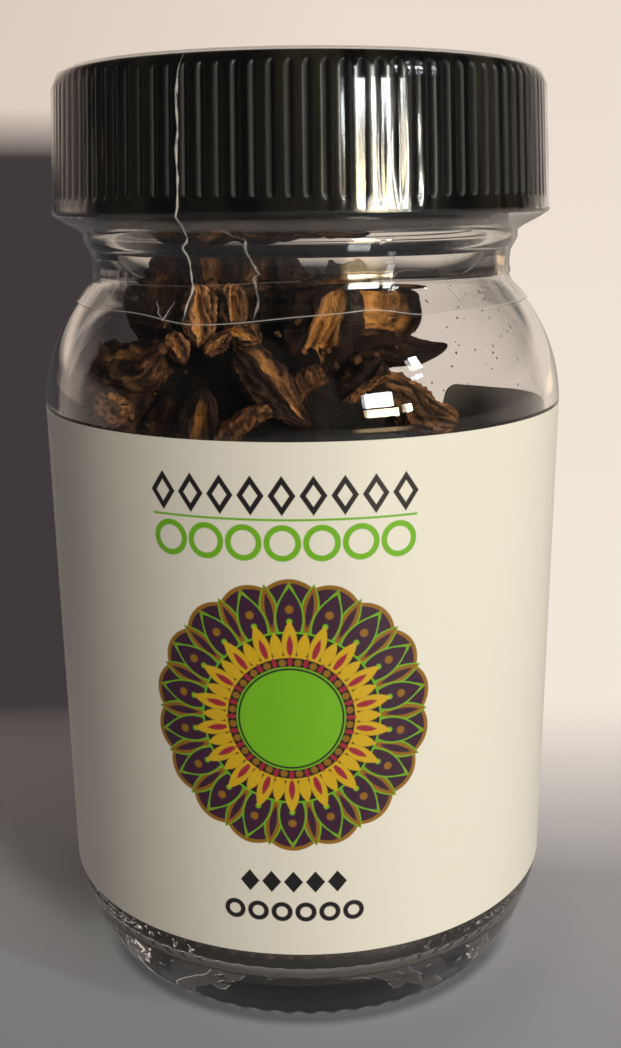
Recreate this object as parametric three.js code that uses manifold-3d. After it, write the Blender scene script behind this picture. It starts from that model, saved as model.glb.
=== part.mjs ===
// A clear glass spice jar of broken star anise: the jar, its ribbed screw cap, the shrink
// seal over cap and neck, the paper label and the heap of pods inside.
// Millimetres, +Z up, the front faces -Y, the origin is on the ground on the jar's axis.
// An azimuth is counted from the front (-Y) towards +X.

import * as THREE from 'three';
import { mergeVertices } from 'three/addons/utils/BufferGeometryUtils.js';
import Module from 'manifold-3d';

const wasm = await Module();
wasm.setup();

// ---------------------------------------------------------------- driving dimensions

// glass
const GLASS_SIDES = 36;
const BODY_RADIUS = 25.95;        // at the foot of the shoulder
const BODY_FOOT_RADIUS = 25.6;    // at the top of the heel: the mould has a little draft
const STAND_RADIUS = 21.0;        // outer edge of the ring that the jar stands on
const STAND_WIDTH = 1.8;
const PUNT_HEIGHT = 2.6;          // how far the bottom is pushed up at the middle
const HEEL_HEIGHT = 10.6;
const HEEL_ROUNDNESS = 1.3;       // 1 is a quarter ellipse, more is flatter at the corner
const PANEL_RECESS = 0.4;         // the label lies in a shallow recess
const SHOULDER_Z = 57.9;
const SHOULDER_ARC = 16.4;
const NECK_RADIUS = 20.35;
const NECK_FILLET = 1.5;
const BEAD_Z = 74.3;              // the bead that the shrink seal grips under
const BEAD_RADIUS = 20.98;
const BEAD_HALF_HEIGHT = 1.1;
const FINISH_RADIUS = 20.5;       // the threaded mouth
const MOUTH_RADIUS = 18.5;
const MOUTH_Z = 87.6;
const WALL = 1.4;                 // at the shoulder and neck
const FLOOR_RADIUS = 23.9;        // inside, at the top of the rounded inner corner
const FLOOR_Z = 4.8;
const FLOOR_RISE = 0.8;
const FLOOR_CORNER = 6;

// screw thread between jar and cap
const THREAD_PITCH = 4.0;
const THREAD_TURNS = 1.2;
const THREAD_DEPTH = 1.0;
const THREAD_HALF_WIDTH = 0.7;
const THREAD_START_Z = 79.4;
const THREAD_GAP = 0.3;

// cap
const CAP_BOTTOM_Z = 76.5;
const CAP_TOP_Z = 89.5;
const CAP_RADIUS = 24.1;          // smooth band round the foot of the skirt
const CAP_BAND_HEIGHT = 1.4;
const CAP_SHOULDER_RADIUS = 23.45; // rib crests at the top of the skirt
const CAP_BORE = 21.9;
const CAP_ROUNDING = 1.5;
const CEILING_Z = 88.0;
const RIB_COUNT = 100;
const RIB_DEPTH = 0.5;

// shrink seal
const SEAL_SIDES = 30;
const SEAL_THICKNESS = 0.2;
const SEAL_GAP = 0.25;
const SEAL_BOTTOM_Z = 68.0;
const SEAL_MOUTH_RADIUS = 19.4;   // the sleeve's open end on top of the cap

// label
const LABEL_BOTTOM_Z = 9.6;
const LABEL_TOP_Z = 58.3;
const LABEL_RIGHT_END = 138;      // azimuths of the two ends, in degrees
const LABEL_LEFT_END = -143;
const LABEL_THICKNESS = 0.2;
const LABEL_CORNER = 2.4;
const LABEL_COLUMNS = 38;

// star anise
const POD_LONG = 12.5;            // one carpel of the star, from hub to beak
const POD_WIDE = 4.6;
const POD_TALL = 6.2;
const STAR_ARM = 9.6;             // the one whole star, behind the bare strip of the label
const STAR_AZIMUTH = 176;
const STAR_Z = 36;
const STAR_HUB_RADIUS = 20.2;
const HEAP_TOP_Z = 68;
const CORE_RADIUS = 21.2;         // the body of the heap, under the pieces that show
const HEAP_CLEARANCE = 0.35;      // between the heap and the glass
const HEAP_SEED = 20714;

// ---------------------------------------------------------------- general helpers

const V2 = THREE.Vector2;
const V3 = THREE.Vector3;
const { PI, sin, cos, sqrt, abs, min, max, acos, atan2, exp, round, hypot } = Math;
const radians = THREE.MathUtils.degToRad;
const mix = THREE.MathUtils.lerp;
const smooth = THREE.MathUtils.smoothstep;

// A closed mesh as a Manifold: vertices merged, flat triangles dropped, faces out.
function solid(geometry) {
  const bare = geometry.clone();
  bare.deleteAttribute('normal');
  bare.deleteAttribute('uv');
  const merged = mergeVertices(bare, 1e-4);
  const position = merged.attributes.position.array;
  const triangles = [];
  for (let i = 0; i < merged.index.count; i += 3) {
    const [a, b, c] = [0, 1, 2].map((k) => merged.index.array[i + k]);
    if (a !== b && b !== c && c !== a) triangles.push(a, b, c);
  }
  const corner = (index) => new V3().fromArray(position, 3 * index);
  let volume = 0;
  for (let i = 0; i < triangles.length; i += 3) {
    const [a, b, c] = [0, 1, 2].map((k) => corner(triangles[i + k]));
    volume += a.dot(b.cross(c));
  }
  if (volume < 0) triangles.reverse();
  return new wasm.Manifold(new wasm.Mesh({
    numProp: 3,
    vertProperties: new Float32Array(position),
    triVerts: new Uint32Array(triangles),
  }));
}

function geometryOf(manifold) {
  const mesh = manifold.getMesh();
  const geometry = new THREE.BufferGeometry();
  geometry.setAttribute('position', new THREE.BufferAttribute(mesh.vertProperties, 3));
  geometry.setIndex(new THREE.BufferAttribute(mesh.triVerts, 1));
  geometry.computeVertexNormals();
  return geometry;
}

// The largest closed shell: loose scraps and sealed hollows are left behind.
function wholeBody(manifold) {
  return manifold.decompose().reduce((a, b) => (a.volume() > b.volume() ? a : b));
}

// A profile of (radius, height) points turned round the Z axis.
function turned(profile, sides) {
  return new THREE.LatheGeometry(profile, sides).rotateX(PI / 2);
}

function moveVertices(geometry, rule) {
  const position = geometry.attributes.position;
  const point = new V3();
  for (let i = 0; i < position.count; i += 1) {
    point.fromBufferAttribute(position, i);
    rule(point);
    position.setXYZ(i, point.x, point.y, point.z);
  }
  return geometry;
}

function onCylinder(azimuth, radius, z) {
  return new V3(radius * sin(azimuth), -radius * cos(azimuth), z);
}

function steps(from, to, count) {
  return Array.from({ length: count + 1 }, (_, i) => mix(from, to, i / count));
}

// ---------------------------------------------------------------- the glass's two surfaces

const SHOULDER_CENTRE = BODY_RADIUS - SHOULDER_ARC;
const FILLET_RADIUS_AT = NECK_RADIUS + NECK_FILLET;
const FILLET_ANGLE = acos((FILLET_RADIUS_AT - SHOULDER_CENTRE) / (SHOULDER_ARC + NECK_FILLET));
const FILLET_Z = SHOULDER_Z + (SHOULDER_ARC + NECK_FILLET) * sin(FILLET_ANGLE);

// Outside radius at a height, without the label recess.
function outsideRadius(z) {
  if (z < HEEL_HEIGHT) {
    const turn = acos((1 - z / HEEL_HEIGHT) ** (1 / HEEL_ROUNDNESS));
    return mix(STAND_RADIUS, BODY_FOOT_RADIUS, sin(turn) ** HEEL_ROUNDNESS);
  }
  if (z < SHOULDER_Z) {
    return mix(BODY_FOOT_RADIUS, BODY_RADIUS, (z - HEEL_HEIGHT) / (SHOULDER_Z - HEEL_HEIGHT));
  }
  return shoulderRadius(z, 0);
}

// Inside radius at a height.
function insideRadius(z) {
  if (z < FLOOR_Z + FLOOR_CORNER) {
    const drop = min(FLOOR_Z + FLOOR_CORNER - z, FLOOR_CORNER);
    return FLOOR_RADIUS - FLOOR_CORNER + sqrt(FLOOR_CORNER ** 2 - drop ** 2);
  }
  if (z < SHOULDER_Z) {
    const part = (z - FLOOR_Z - FLOOR_CORNER) / (SHOULDER_Z - FLOOR_Z - FLOOR_CORNER);
    return mix(FLOOR_RADIUS, BODY_RADIUS - WALL, part);
  }
  return max(shoulderRadius(z, WALL), MOUTH_RADIUS);
}

// Shoulder arc and the fillet into the neck, set in by an offset.
function shoulderRadius(z, offset) {
  const arc = SHOULDER_ARC - offset;
  const fillet = NECK_FILLET + offset;
  if (z < SHOULDER_Z + arc * sin(FILLET_ANGLE)) {
    return SHOULDER_CENTRE + sqrt(arc ** 2 - (z - SHOULDER_Z) ** 2);
  }
  if (z < FILLET_Z) return FILLET_RADIUS_AT - sqrt(fillet ** 2 - (FILLET_Z - z) ** 2);
  return NECK_RADIUS - offset;
}

// ---------------------------------------------------------------- screw thread

// A tapered ridge wound round the axis. It starts sunk into its wall, and `outwards` is 1
// for a thread on a spigot and -1 for one in a bore.
function threadRidge(wallRadius, outwards, startZ) {
  const sunk = 0.3;
  const segments = 26;
  const ridge = new THREE.BoxGeometry(1, 1, 1, 1, 1, segments);
  moveVertices(ridge, (p) => {
    const along = p.z + 0.5;
    const rise = p.x + 0.5;
    const ramp = min(1, 8 * min(along, 1 - along) + 0.05);
    const turns = THREAD_TURNS * along;
    const radius = wallRadius + outwards * mix(-sunk, THREAD_DEPTH * ramp, rise);
    const halfWidth = THREAD_HALF_WIDTH * (1 - 0.45 * rise);
    const z = startZ + THREAD_PITCH * turns + 2 * p.y * halfWidth;
    p.copy(onCylinder(2 * PI * turns, radius, z));
  });
  return solid(ridge);
}

// ---------------------------------------------------------------- jar

function jarGeometry() {
  const panelBottom = LABEL_BOTTOM_Z - 0.3;
  const panelTop = LABEL_TOP_Z + 0.3;
  const outside = [
    new V2(0, PUNT_HEIGHT),
    new V2(11, 0.8 * PUNT_HEIGHT),
    new V2(STAND_RADIUS - STAND_WIDTH - 1, 0.4),
    new V2(STAND_RADIUS - STAND_WIDTH, 0),
    ...steps(0, 1, 5).map((t) => new V2(outsideRadius(panelBottom * t * t), panelBottom * t * t)),
    new V2(outsideRadius(panelBottom) - PANEL_RECESS, panelBottom),
    new V2(outsideRadius(panelTop) - PANEL_RECESS, panelTop),
    ...steps(panelTop, SHOULDER_Z + SHOULDER_ARC * sin(FILLET_ANGLE), 4)
      .map((z) => new V2(outsideRadius(z), z)),
    new V2(NECK_RADIUS, FILLET_Z),
    new V2(NECK_RADIUS, BEAD_Z - BEAD_HALF_HEIGHT),
    new V2(BEAD_RADIUS, BEAD_Z - 0.4 * BEAD_HALF_HEIGHT),
    new V2(BEAD_RADIUS, BEAD_Z + 0.4 * BEAD_HALF_HEIGHT),
    new V2(FINISH_RADIUS, BEAD_Z + BEAD_HALF_HEIGHT),
    new V2(FINISH_RADIUS, MOUTH_Z - 0.4),
    new V2(FINISH_RADIUS - 0.4, MOUTH_Z),
  ];
  const insideFillet = SHOULDER_Z + (SHOULDER_ARC - WALL) * sin(FILLET_ANGLE);
  const inside = [
    new V2(MOUTH_RADIUS + 0.4, MOUTH_Z),
    new V2(MOUTH_RADIUS, MOUTH_Z - 0.4),
    new V2(MOUTH_RADIUS, BEAD_Z + BEAD_HALF_HEIGHT),
    new V2(NECK_RADIUS - WALL, FILLET_Z),
    ...steps(insideFillet, SHOULDER_Z, 3).map((z) => new V2(insideRadius(z), z)),
    ...steps(0, PI / 2, 3).map((turn) => new V2(
      FLOOR_RADIUS - FLOOR_CORNER * (1 - cos(turn)),
      FLOOR_Z + FLOOR_CORNER * (1 - sin(turn)),
    )),
    new V2(0, FLOOR_Z + FLOOR_RISE),
  ];
  const glass = solid(turned([...outside, ...inside], GLASS_SIDES));
  return geometryOf(glass.add(threadRidge(FINISH_RADIUS, 1, THREAD_START_Z)));
}

// ---------------------------------------------------------------- cap

// Rib crest radius at a height of the skirt.
function crestRadius(z) {
  const part = (z - CAP_BOTTOM_Z) / (CAP_TOP_Z - CAP_ROUNDING - CAP_BOTTOM_Z);
  return mix(CAP_RADIUS, CAP_SHOULDER_RADIUS, part);
}

// A turned body with two sides to each rib: every other line of the skirt is a rib's crest,
// and the lines between are set back to be its valleys.
function capGeometry() {
  const ribFoot = CAP_BOTTOM_Z + CAP_BAND_HEIGHT;
  const ribTop = CAP_TOP_Z - CAP_ROUNDING;
  const sides = 2 * RIB_COUNT;
  const body = turned([
    new V2(0, CAP_BOTTOM_Z),
    new V2(CAP_RADIUS, CAP_BOTTOM_Z),
    new V2(crestRadius(ribFoot), ribFoot),
    new V2(crestRadius(ribFoot + 0.3), ribFoot + 0.3),
    new V2(CAP_SHOULDER_RADIUS, ribTop),
    new V2(CAP_SHOULDER_RADIUS - 0.4 * CAP_ROUNDING, ribTop + 0.7 * CAP_ROUNDING),
    new V2(CAP_SHOULDER_RADIUS - 1.2 * CAP_ROUNDING, CAP_TOP_Z),
    new V2(0, CAP_TOP_Z),
  ], sides);
  moveVertices(body, (p) => {
    const line = round((atan2(p.x, -p.y) * sides) / (2 * PI));
    const ribbed = p.z > ribFoot + 0.1 && p.z < ribTop + 0.1;
    const radius = hypot(p.x, p.y) - (ribbed && line % 2 ? RIB_DEPTH : 0);
    p.copy(onCylinder((2 * PI * line) / sides, radius, p.z));
  });
  const bore = turned([
    new V2(0, CAP_BOTTOM_Z - 1),
    new V2(CAP_BORE, CAP_BOTTOM_Z - 1),
    new V2(CAP_BORE, CEILING_Z),
    new V2(0, CEILING_Z),
  ], GLASS_SIDES);
  const threadZ = THREAD_START_Z - 1.55 * THREAD_HALF_WIDTH - THREAD_GAP;
  return geometryOf(solid(body).subtract(solid(bore)).add(threadRidge(CAP_BORE, -1, threadZ)));
}

// ---------------------------------------------------------------- shrink seal

// Points set off from a path by a distance, to the left of its direction.
function offsetPath(path, distance) {
  return path.map((point, i) => {
    const before = path[max(i - 1, 0)];
    const after = path[min(i + 1, path.length - 1)];
    const direction = after.clone().sub(before).normalize();
    return new V2(point.x + direction.y * distance, point.y - direction.x * distance);
  });
}

function sealGeometry() {
  const gap = SEAL_GAP;
  const onShoulder = SEAL_BOTTOM_Z + 1.9;
  const skirtTop = CAP_TOP_Z - CAP_ROUNDING;
  const covered = [
    new V2(outsideRadius(SEAL_BOTTOM_Z) + 0.8 * gap, SEAL_BOTTOM_Z + 0.6 * gap),
    new V2(outsideRadius(onShoulder) + gap, onShoulder + 0.6 * gap),
    new V2(NECK_RADIUS + 1.2 * gap, FILLET_Z + 0.6),
    new V2(NECK_RADIUS + 1.4 * gap, BEAD_Z - 1.3 * BEAD_HALF_HEIGHT),
    new V2(BEAD_RADIUS + 1.4 * gap, BEAD_Z - 0.2 * BEAD_HALF_HEIGHT),
    new V2(BEAD_RADIUS + 1.4 * gap, BEAD_Z + 0.6 * BEAD_HALF_HEIGHT),
    new V2(CAP_RADIUS - 0.6, CAP_BOTTOM_Z - 1.6 * gap),
    new V2(CAP_RADIUS + gap, CAP_BOTTOM_Z),
    new V2(CAP_SHOULDER_RADIUS + gap, skirtTop),
    new V2(CAP_SHOULDER_RADIUS - 0.25 * CAP_ROUNDING, skirtTop + 0.75 * CAP_ROUNDING),
    new V2(CAP_SHOULDER_RADIUS - 1.2 * CAP_ROUNDING, CAP_TOP_Z + gap),
    new V2(SEAL_MOUTH_RADIUS, CAP_TOP_Z + gap),
  ];
  const outer = offsetPath(covered, SEAL_THICKNESS).reverse();
  const sleeve = turned([...covered, ...outer, covered[0].clone()], SEAL_SIDES);
  // the cut ends of the sleeve wander a little
  moveVertices(sleeve, (p) => {
    const azimuth = atan2(p.x, -p.y);
    const radius = hypot(p.x, p.y);
    if (p.z < SEAL_BOTTOM_Z + 0.6) {
      const slide = 0.22 * sin(3 * azimuth + 1) + 0.18 * sin(5 * azimuth - 0.6);
      p.copy(onCylinder(azimuth, radius - 0.55 * slide, p.z + slide));
    }
    if (p.z > CAP_TOP_Z && radius < SEAL_MOUTH_RADIUS + 0.1) {
      p.copy(onCylinder(azimuth, radius + 0.5 * sin(4 * azimuth) + 0.3 * sin(7 * azimuth), p.z));
    }
  });
  return geometryOf(solid(sleeve));
}

// ---------------------------------------------------------------- label

// A thin plate bent round the panel, with its four corners rounded.
function labelGeometry() {
  const height = LABEL_TOP_Z - LABEL_BOTTOM_Z;
  const middle = (LABEL_TOP_Z + LABEL_BOTTOM_Z) / 2;
  const left = radians(LABEL_LEFT_END);
  const right = radians(LABEL_RIGHT_END);
  const cornerTurn = LABEL_CORNER / BODY_RADIUS;
  const cornerColumns = 4;
  // columns crowd together in the rounded corners
  const columnAzimuth = (column) => {
    const fromEnd = min(column, LABEL_COLUMNS - column);
    const side = column <= LABEL_COLUMNS / 2 ? 1 : -1;
    const end = side > 0 ? left : right;
    if (fromEnd < cornerColumns) {
      return end + side * cornerTurn * (1 - cos((PI / 2) * (fromEnd / cornerColumns)));
    }
    const part = (column - cornerColumns) / (LABEL_COLUMNS - 2 * cornerColumns);
    return mix(left + cornerTurn, right - cornerTurn, part);
  };
  const plate = new THREE.BoxGeometry(1, 1, 1, LABEL_COLUMNS, 1, 1);
  moveVertices(plate, (p) => {
    const column = round((p.x + 0.5) * LABEL_COLUMNS);
    const azimuth = columnAzimuth(column);
    const fromEnd = min(column, LABEL_COLUMNS - column);
    const part = min(fromEnd / cornerColumns, 1);
    const halfHeight = height / 2 - LABEL_CORNER * (1 - sin((PI / 2) * part));
    const z = middle + 2 * p.y * halfHeight;
    const edge = mix(outsideRadius(LABEL_BOTTOM_Z), BODY_RADIUS, (z - LABEL_BOTTOM_Z) / height);
    p.copy(onCylinder(azimuth, edge - (p.z > 0 ? 0 : LABEL_THICKNESS), z));
  });
  return geometryOf(solid(plate));
}

// ---------------------------------------------------------------- pieces of star anise

// Park and Miller's random numbers, so the heap is always the same one.
let randomState = HEAP_SEED;
function random() {
  randomState = (randomState * 16807) % 2147483647;
  return randomState / 2147483647;
}
function between(low, high) {
  return low + (high - low) * random();
}

// A ball with its poles on X: along runs from -1 (hub end) to 1 (beak), round is the angle
// about X from the top.
function ball(sides, rings, rule) {
  const geometry = new THREE.SphereGeometry(1, sides, rings).rotateZ(-PI / 2);
  return moveVertices(geometry, (p) => rule(p, p.x, atan2(p.y, p.z), hypot(p.y, p.z)));
}

// One carpel: a boat that is split open along its top and ends in a short beak.
function carpel(long, wide, tall, gape) {
  return ball(6, 4, (p, along, round, ring) => {
    const fullness = ring * (1 + 0.25 * along);
    const beak = max(0, (along - 0.5) / 0.5) ** 2;
    const lip = exp(-(((abs(round) - 1) / 0.6) ** 2));
    const groove = exp(-((round / 0.5) ** 2)) * ring * ring;
    p.x = (long / 2) * (along + 0.12 * beak);
    p.y = (wide / 2) * fullness * sin(round) * (1 + gape * lip);
    p.z = (tall / 2) * (fullness * cos(round) - 1.1 * groove + 0.5 * beak);
  });
}

// A seed: a flattened bean.
function seed(long) {
  return ball(5, 3, (p) => p.set((p.x * long) / 2, p.y * long * 0.36, p.z * long * 0.2));
}

// A stalk: a bent stick, thicker where it joined the star.
function stalk(long, thick) {
  return ball(5, 4, (p, along, round) => {
    const radius = (thick / 2) * (abs(along) > 0.99 ? 0 : 1.15 - 0.3 * along);
    const bend = 0.09 * long * (1 - along * along);
    p.set((long / 2) * along, radius * sin(round), radius * cos(round) + bend);
  });
}

// A splinter of broken pod wall: a thin curved shard with an uneven outline.
function shard(long, wide) {
  const plate = new THREE.BoxGeometry(1, 1, 1, 2, 1, 1);
  return moveVertices(plate, (p) => {
    const taper = 1 - 0.5 * p.x - 0.35 * abs(p.x);
    const sag = 1.8 * p.x * p.x + 0.25 * wide * abs(p.y);
    p.set(long * p.x * (1 + 0.2 * p.y), wide * p.y * taper, 1.3 * p.z - sag);
  });
}

// ---------------------------------------------------------------- the heap

// Height of the heap: it stands up into the neck left of the middle and falls away steeply
// on the right.
function pileHeight(x) {
  return HEAP_TOP_Z - 17 * smooth(x, 6.5, 14) - 7 * smooth(-x, 11.5, 14.5);
}

const heapPieces = [];

// Sets a piece down by its middle, the direction of its length and the side its top faces.
function setDown(geometry, middle, along, top) {
  const x = along.clone().normalize();
  const y = top.clone().cross(x).normalize();
  const z = x.clone().cross(y);
  const place = new THREE.Matrix4().makeBasis(x, y, z).setPosition(middle);
  heapPieces.push(solid(geometry.applyMatrix4(place)));
}

// A piece that leans against the glass. Tilt turns its length up from the level, and roll
// turns its top from facing the glass (0) towards straight up.
function againstGlass(geometry, azimuth, z, long, thick, tilt, roll) {
  const outward = onCylinder(azimuth, 1, 0);
  const sideways = new V3(cos(azimuth), sin(azimuth), 0);
  const up = new V3(0, 0, 1);
  const along = sideways.clone().multiplyScalar(cos(tilt)).addScaledVector(up, sin(tilt));
  const across = outward.clone().cross(along).normalize();
  const top = outward.clone().multiplyScalar(cos(roll)).addScaledVector(across, sin(roll));
  const reach = (0.45 * long * cos(tilt)) ** 2 / (2 * BODY_RADIUS);
  const rise = 0.3 * long * abs(sin(tilt)) + 0.3 * thick;
  const wall = min(insideRadius(z), insideRadius(z + rise), insideRadius(z - rise));
  setDown(geometry, onCylinder(azimuth, wall - HEAP_CLEARANCE - reach - thick / 2, z), along, top);
}

// A loose piece for the random part of the heap. Two thirds are carpels.
function loosePiece(azimuth, z, scale) {
  const tilt = between(-1.1, 1.1);
  const roll = between(-1.6, 1.6);
  const size = scale * between(0.8, 1.1);
  const kind = random();
  const long = size * (kind < 0.68 ? POD_LONG : 9);
  if (kind < 0.68) {
    const gape = between(0, 0.4);
    const thick = size * mix(POD_TALL, POD_WIDE, abs(sin(roll)));
    const pod = carpel(long, size * POD_WIDE, size * POD_TALL, gape);
    againstGlass(pod, azimuth, z, long, thick, tilt, roll);
  } else if (kind < 0.8) {
    againstGlass(stalk(1.3 * long, 2), azimuth, z, 1.3 * long, 2.2, tilt, roll);
  } else if (kind < 0.9) {
    againstGlass(shard(long, 4.5), azimuth, z, long, 2.4, tilt, roll);
  } else {
    againstGlass(seed(6.5), azimuth, z, 6.5, 3.4, tilt, roll);
  }
}

// Rings of pieces in the shoulder, as far up as the heap reaches there.
function shoulderPieces() {
  const count = 12;
  for (const z of [53.5, 59.5, 65]) {
    for (let i = 0; i < count; i += 1) {
      const azimuth = (2 * PI * (i + between(-0.3, 0.3))) / count;
      const height = z + between(-1.5, 1.5);
      const inFront = abs(azimuth) < 0.7 || azimuth > 2 * PI - 0.7;
      const x = (insideRadius(height) - 4) * sin(azimuth);
      const shows = height < pileHeight(x) + 1 && !(inFront && z > 55);
      if (shows) loosePiece(azimuth, height, z > 62 ? 0.85 : 1);
    }
  }
}

// Rows of pieces behind the bare strip between the label's ends.
function stripPieces() {
  const rows = 6;
  const columns = 4;
  for (let row = 0; row < rows; row += 1) {
    for (let column = 0; column < columns; column += 1) {
      const part = (column + (row % 2 ? 0.3 : 0)) / (columns - 1);
      const azimuth = radians(mix(LABEL_RIGHT_END + 4, 360 + LABEL_LEFT_END - 4, part));
      const z = mix(11, 48.5, row / (rows - 1)) + between(-1, 1);
      const across = CORE_RADIUS * (azimuth - radians(STAR_AZIMUTH));
      if (hypot(across, z - STAR_Z) > 1.35 * STAR_ARM) loosePiece(azimuth, z, 0.95);
    }
  }
}

// Broken bits that have sunk to the bottom show all round the heel.
function heelPieces() {
  const count = 14;
  for (let i = 0; i < count; i += 1) {
    const azimuth = (2 * PI * (i + between(-0.3, 0.3))) / count;
    const z = between(7.2, 8.6);
    const tilt = between(-0.35, 0.35);
    const kind = random();
    if (kind < 0.45) {
      againstGlass(carpel(9, 3.6, 4.4, 0.2), azimuth, z, 9, 4, tilt, between(-1, 1));
    } else if (kind < 0.75) {
      againstGlass(stalk(10, 1.8), azimuth, z - 1, 10, 2, tilt, 0);
    } else {
      againstGlass(seed(6.2), azimuth, z - 0.6, 6.2, 2.6, tilt, 0.3);
    }
  }
}

// Pods lying on top of the heap, inside the neck and on its right slope.
function topPieces() {
  const count = 10;
  for (let i = 0; i < count; i += 1) {
    const turn = 2.4 * i;
    const out = 13.5 * sqrt((i + 0.5) / count);
    const [x, y] = [out * cos(turn) - 1, out * sin(turn) + 1];
    const heading = between(0, 2 * PI);
    const along = new V3(cos(heading), sin(heading), between(-0.35, 0.35));
    const top = new V3(between(-0.5, 0.5), between(-0.5, 0.5), 1);
    const middle = new V3(x, y, pileHeight(x) + 1.2);
    setDown(carpel(POD_LONG, POD_WIDE, POD_TALL, 0.3), middle, along, top);
  }
}

// The one whole star: eight carpels round a hub, with their seams towards the glass. The
// arms bend back a little to follow it.
function wholeStar() {
  const azimuth = radians(STAR_AZIMUTH);
  const outward = onCylinder(azimuth, 1, 0);
  const sideways = new V3(cos(azimuth), sin(azimuth), 0);
  const up = new V3(0, 0, 1);
  const hub = onCylinder(azimuth, STAR_HUB_RADIUS, STAR_Z);
  for (let arm = 0; arm < 8; arm += 1) {
    const turn = radians(45 * arm + 15);
    const along = sideways.clone().multiplyScalar(cos(turn)).addScaledVector(up, sin(turn));
    along.addScaledVector(outward, -0.2 * abs(cos(turn)));
    const gape = 0.25 + 0.1 * (arm % 3);
    const middle = hub.clone().addScaledVector(along, 0.56 * STAR_ARM);
    setDown(carpel(STAR_ARM, 0.36 * STAR_ARM, 0.45 * STAR_ARM, gape), middle, along, outward);
  }
}

// The pieces that show at the front, each by its middle, its direction and the side its top
// faces.
function frontPieces() {
  const piece = (geometry, middle, along, top) => {
    setDown(geometry, new V3(...middle), new V3(...along), new V3(...top));
  };
  // wrinkled pod with its beak down, right against the glass
  piece(carpel(10.5, 4.4, 5, 0), [-2.9, -19.6, 62], [4.6, -1.6, -6.2], [0.5, 0.75, 0.5]);
  // pod lying open towards the front, over the right slope
  piece(carpel(12.5, 5.4, 6.8, 0.5), [6.6, -9.5, 67.2], [9, -2, -1.2], [0.1, -0.85, 0.45]);
  // its lower neighbour, a boat with its beak to the right
  piece(carpel(11.5, 4.6, 5, 0.2), [7.6, -12.5, 64.3], [9, 0.5, -0.6], [0, 0.3, 1]);
  // pod on its side against the glass, lower right
  piece(carpel(11, 4.8, 6, 0.2), [8, -17.2, 60], [5.5, 1, -4.5], [0.5, 0.6, 0.8]);
  piece(carpel(11.5, 4.6, 6, 0.3), [14.2, -14.5, 54.5], [6, 4, -3], [0.3, 0.2, 1]);
  // broken ends of pods standing behind the seal's edge
  piece(carpel(8, 3.4, 3.6, 0), [-8.9, -13.4, 67.3], [0.4, 2, -6], [0, 1, 0.3]);
  piece(carpel(8.5, 2.8, 3.2, 0), [-5.8, -13.6, 66.8], [-0.2, 1.4, -6], [0, 1, 0.2]);
  piece(carpel(12, 4.6, 6, 0.2), [-1.4, -9.5, 68.2], [4, -1, -7], [0.8, -0.5, 0.3]);
  // dark rough pods on the left
  piece(carpel(12, 5, 6.4, 0.2), [-15.4, -12.4, 62.2], [5.5, -3, 2.6], [-0.4, -0.2, 1]);
  piece(carpel(9, 3.6, 4, 0), [-17.4, -14.2, 58.6], [4, -3.4, -1], [-0.3, 0.3, 1]);
  // narrow pod on end, left of the middle
  piece(carpel(11, 4.4, 5.2, 0.4), [-8.8, -18.6, 58.6], [0.4, -0.6, 6], [-0.2, -1, 0]);
  piece(carpel(11, 4.6, 5.6, 0.1), [-12.6, -15.8, 57], [3, -2, 5], [-0.6, -0.6, 0.3]);
  // stalk lying down to the left, and a shard beside the wrinkled pod
  piece(stalk(11, 2), [-5.2, -20.4, 58], [3.4, -0.3, 2.9], [-0.5, -0.5, 1]);
  piece(shard(7, 4.5), [0.6, -18.4, 61.4], [1.4, 0.2, 5], [0.4, -1, 0.2]);
  piece(carpel(11.5, 4.6, 6, 0.2), [2.6, -16.4, 57.4], [5, 1, 2], [0, -0.5, 1]);
  // a stick on the floor of the jar
  piece(stalk(8, 1.8), [6, -19.4, 6.6], [0.8, 1.6, 4], [1, 0, 0]);
}

// The body of the heap under the pieces that show.
function heapCore() {
  const sides = 22;
  const profile = [
    new V2(0, FLOOR_Z + FLOOR_RISE),
    new V2(15.5, FLOOR_Z),
    new V2(19.6, 7.5),
    new V2(CORE_RADIUS, 12),
    ...steps(20, 50, 3).map((z) => new V2(CORE_RADIUS, z)),
    new V2(CORE_RADIUS - 0.4, 58),
    new V2(CORE_RADIUS - 4.2, HEAP_TOP_Z),
    new V2(9, HEAP_TOP_Z),
    new V2(0, HEAP_TOP_Z),
  ];
  const core = turned(profile, sides);
  moveVertices(core, (p) => {
    const azimuth = atan2(p.x, -p.y);
    const radius = hypot(p.x, p.y);
    const lumps = 0.6 * sin(5 * azimuth + 0.31 * p.z) + 0.4 * sin(9 * azimuth - 0.5 * p.z);
    // the star's arms stand clear of the core
    const across = CORE_RADIUS * abs(abs(azimuth) - radians(STAR_AZIMUTH));
    const hollow = 4 * (1 - smooth(hypot(across, p.z - STAR_Z), 10, 17));
    const onSide = radius > 15;
    p.copy(onCylinder(azimuth, radius + (onSide ? lumps - hollow : 0), p.z));
    p.z = min(p.z, pileHeight(p.x) - 1 + 0.8 * sin(0.7 * p.x + 1.1 * p.y));
  });
  return solid(core);
}

// The room that the glass leaves for the heap.
function heapRoom() {
  const corner = FLOOR_CORNER - HEAP_CLEARANCE;
  return solid(turned([
    new V2(0, FLOOR_Z + FLOOR_RISE + HEAP_CLEARANCE),
    ...steps(PI / 2, 0, 3).map((turn) => new V2(
      FLOOR_RADIUS - FLOOR_CORNER + corner * cos(turn),
      FLOOR_Z + FLOOR_CORNER - corner * sin(turn),
    )),
    ...steps(SHOULDER_Z, FILLET_Z, 5).map((z) => new V2(insideRadius(z) - HEAP_CLEARANCE, z)),
    new V2(MOUTH_RADIUS - HEAP_CLEARANCE, FILLET_Z + 3),
    new V2(0, FILLET_Z + 3),
  ], GLASS_SIDES));
}

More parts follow.
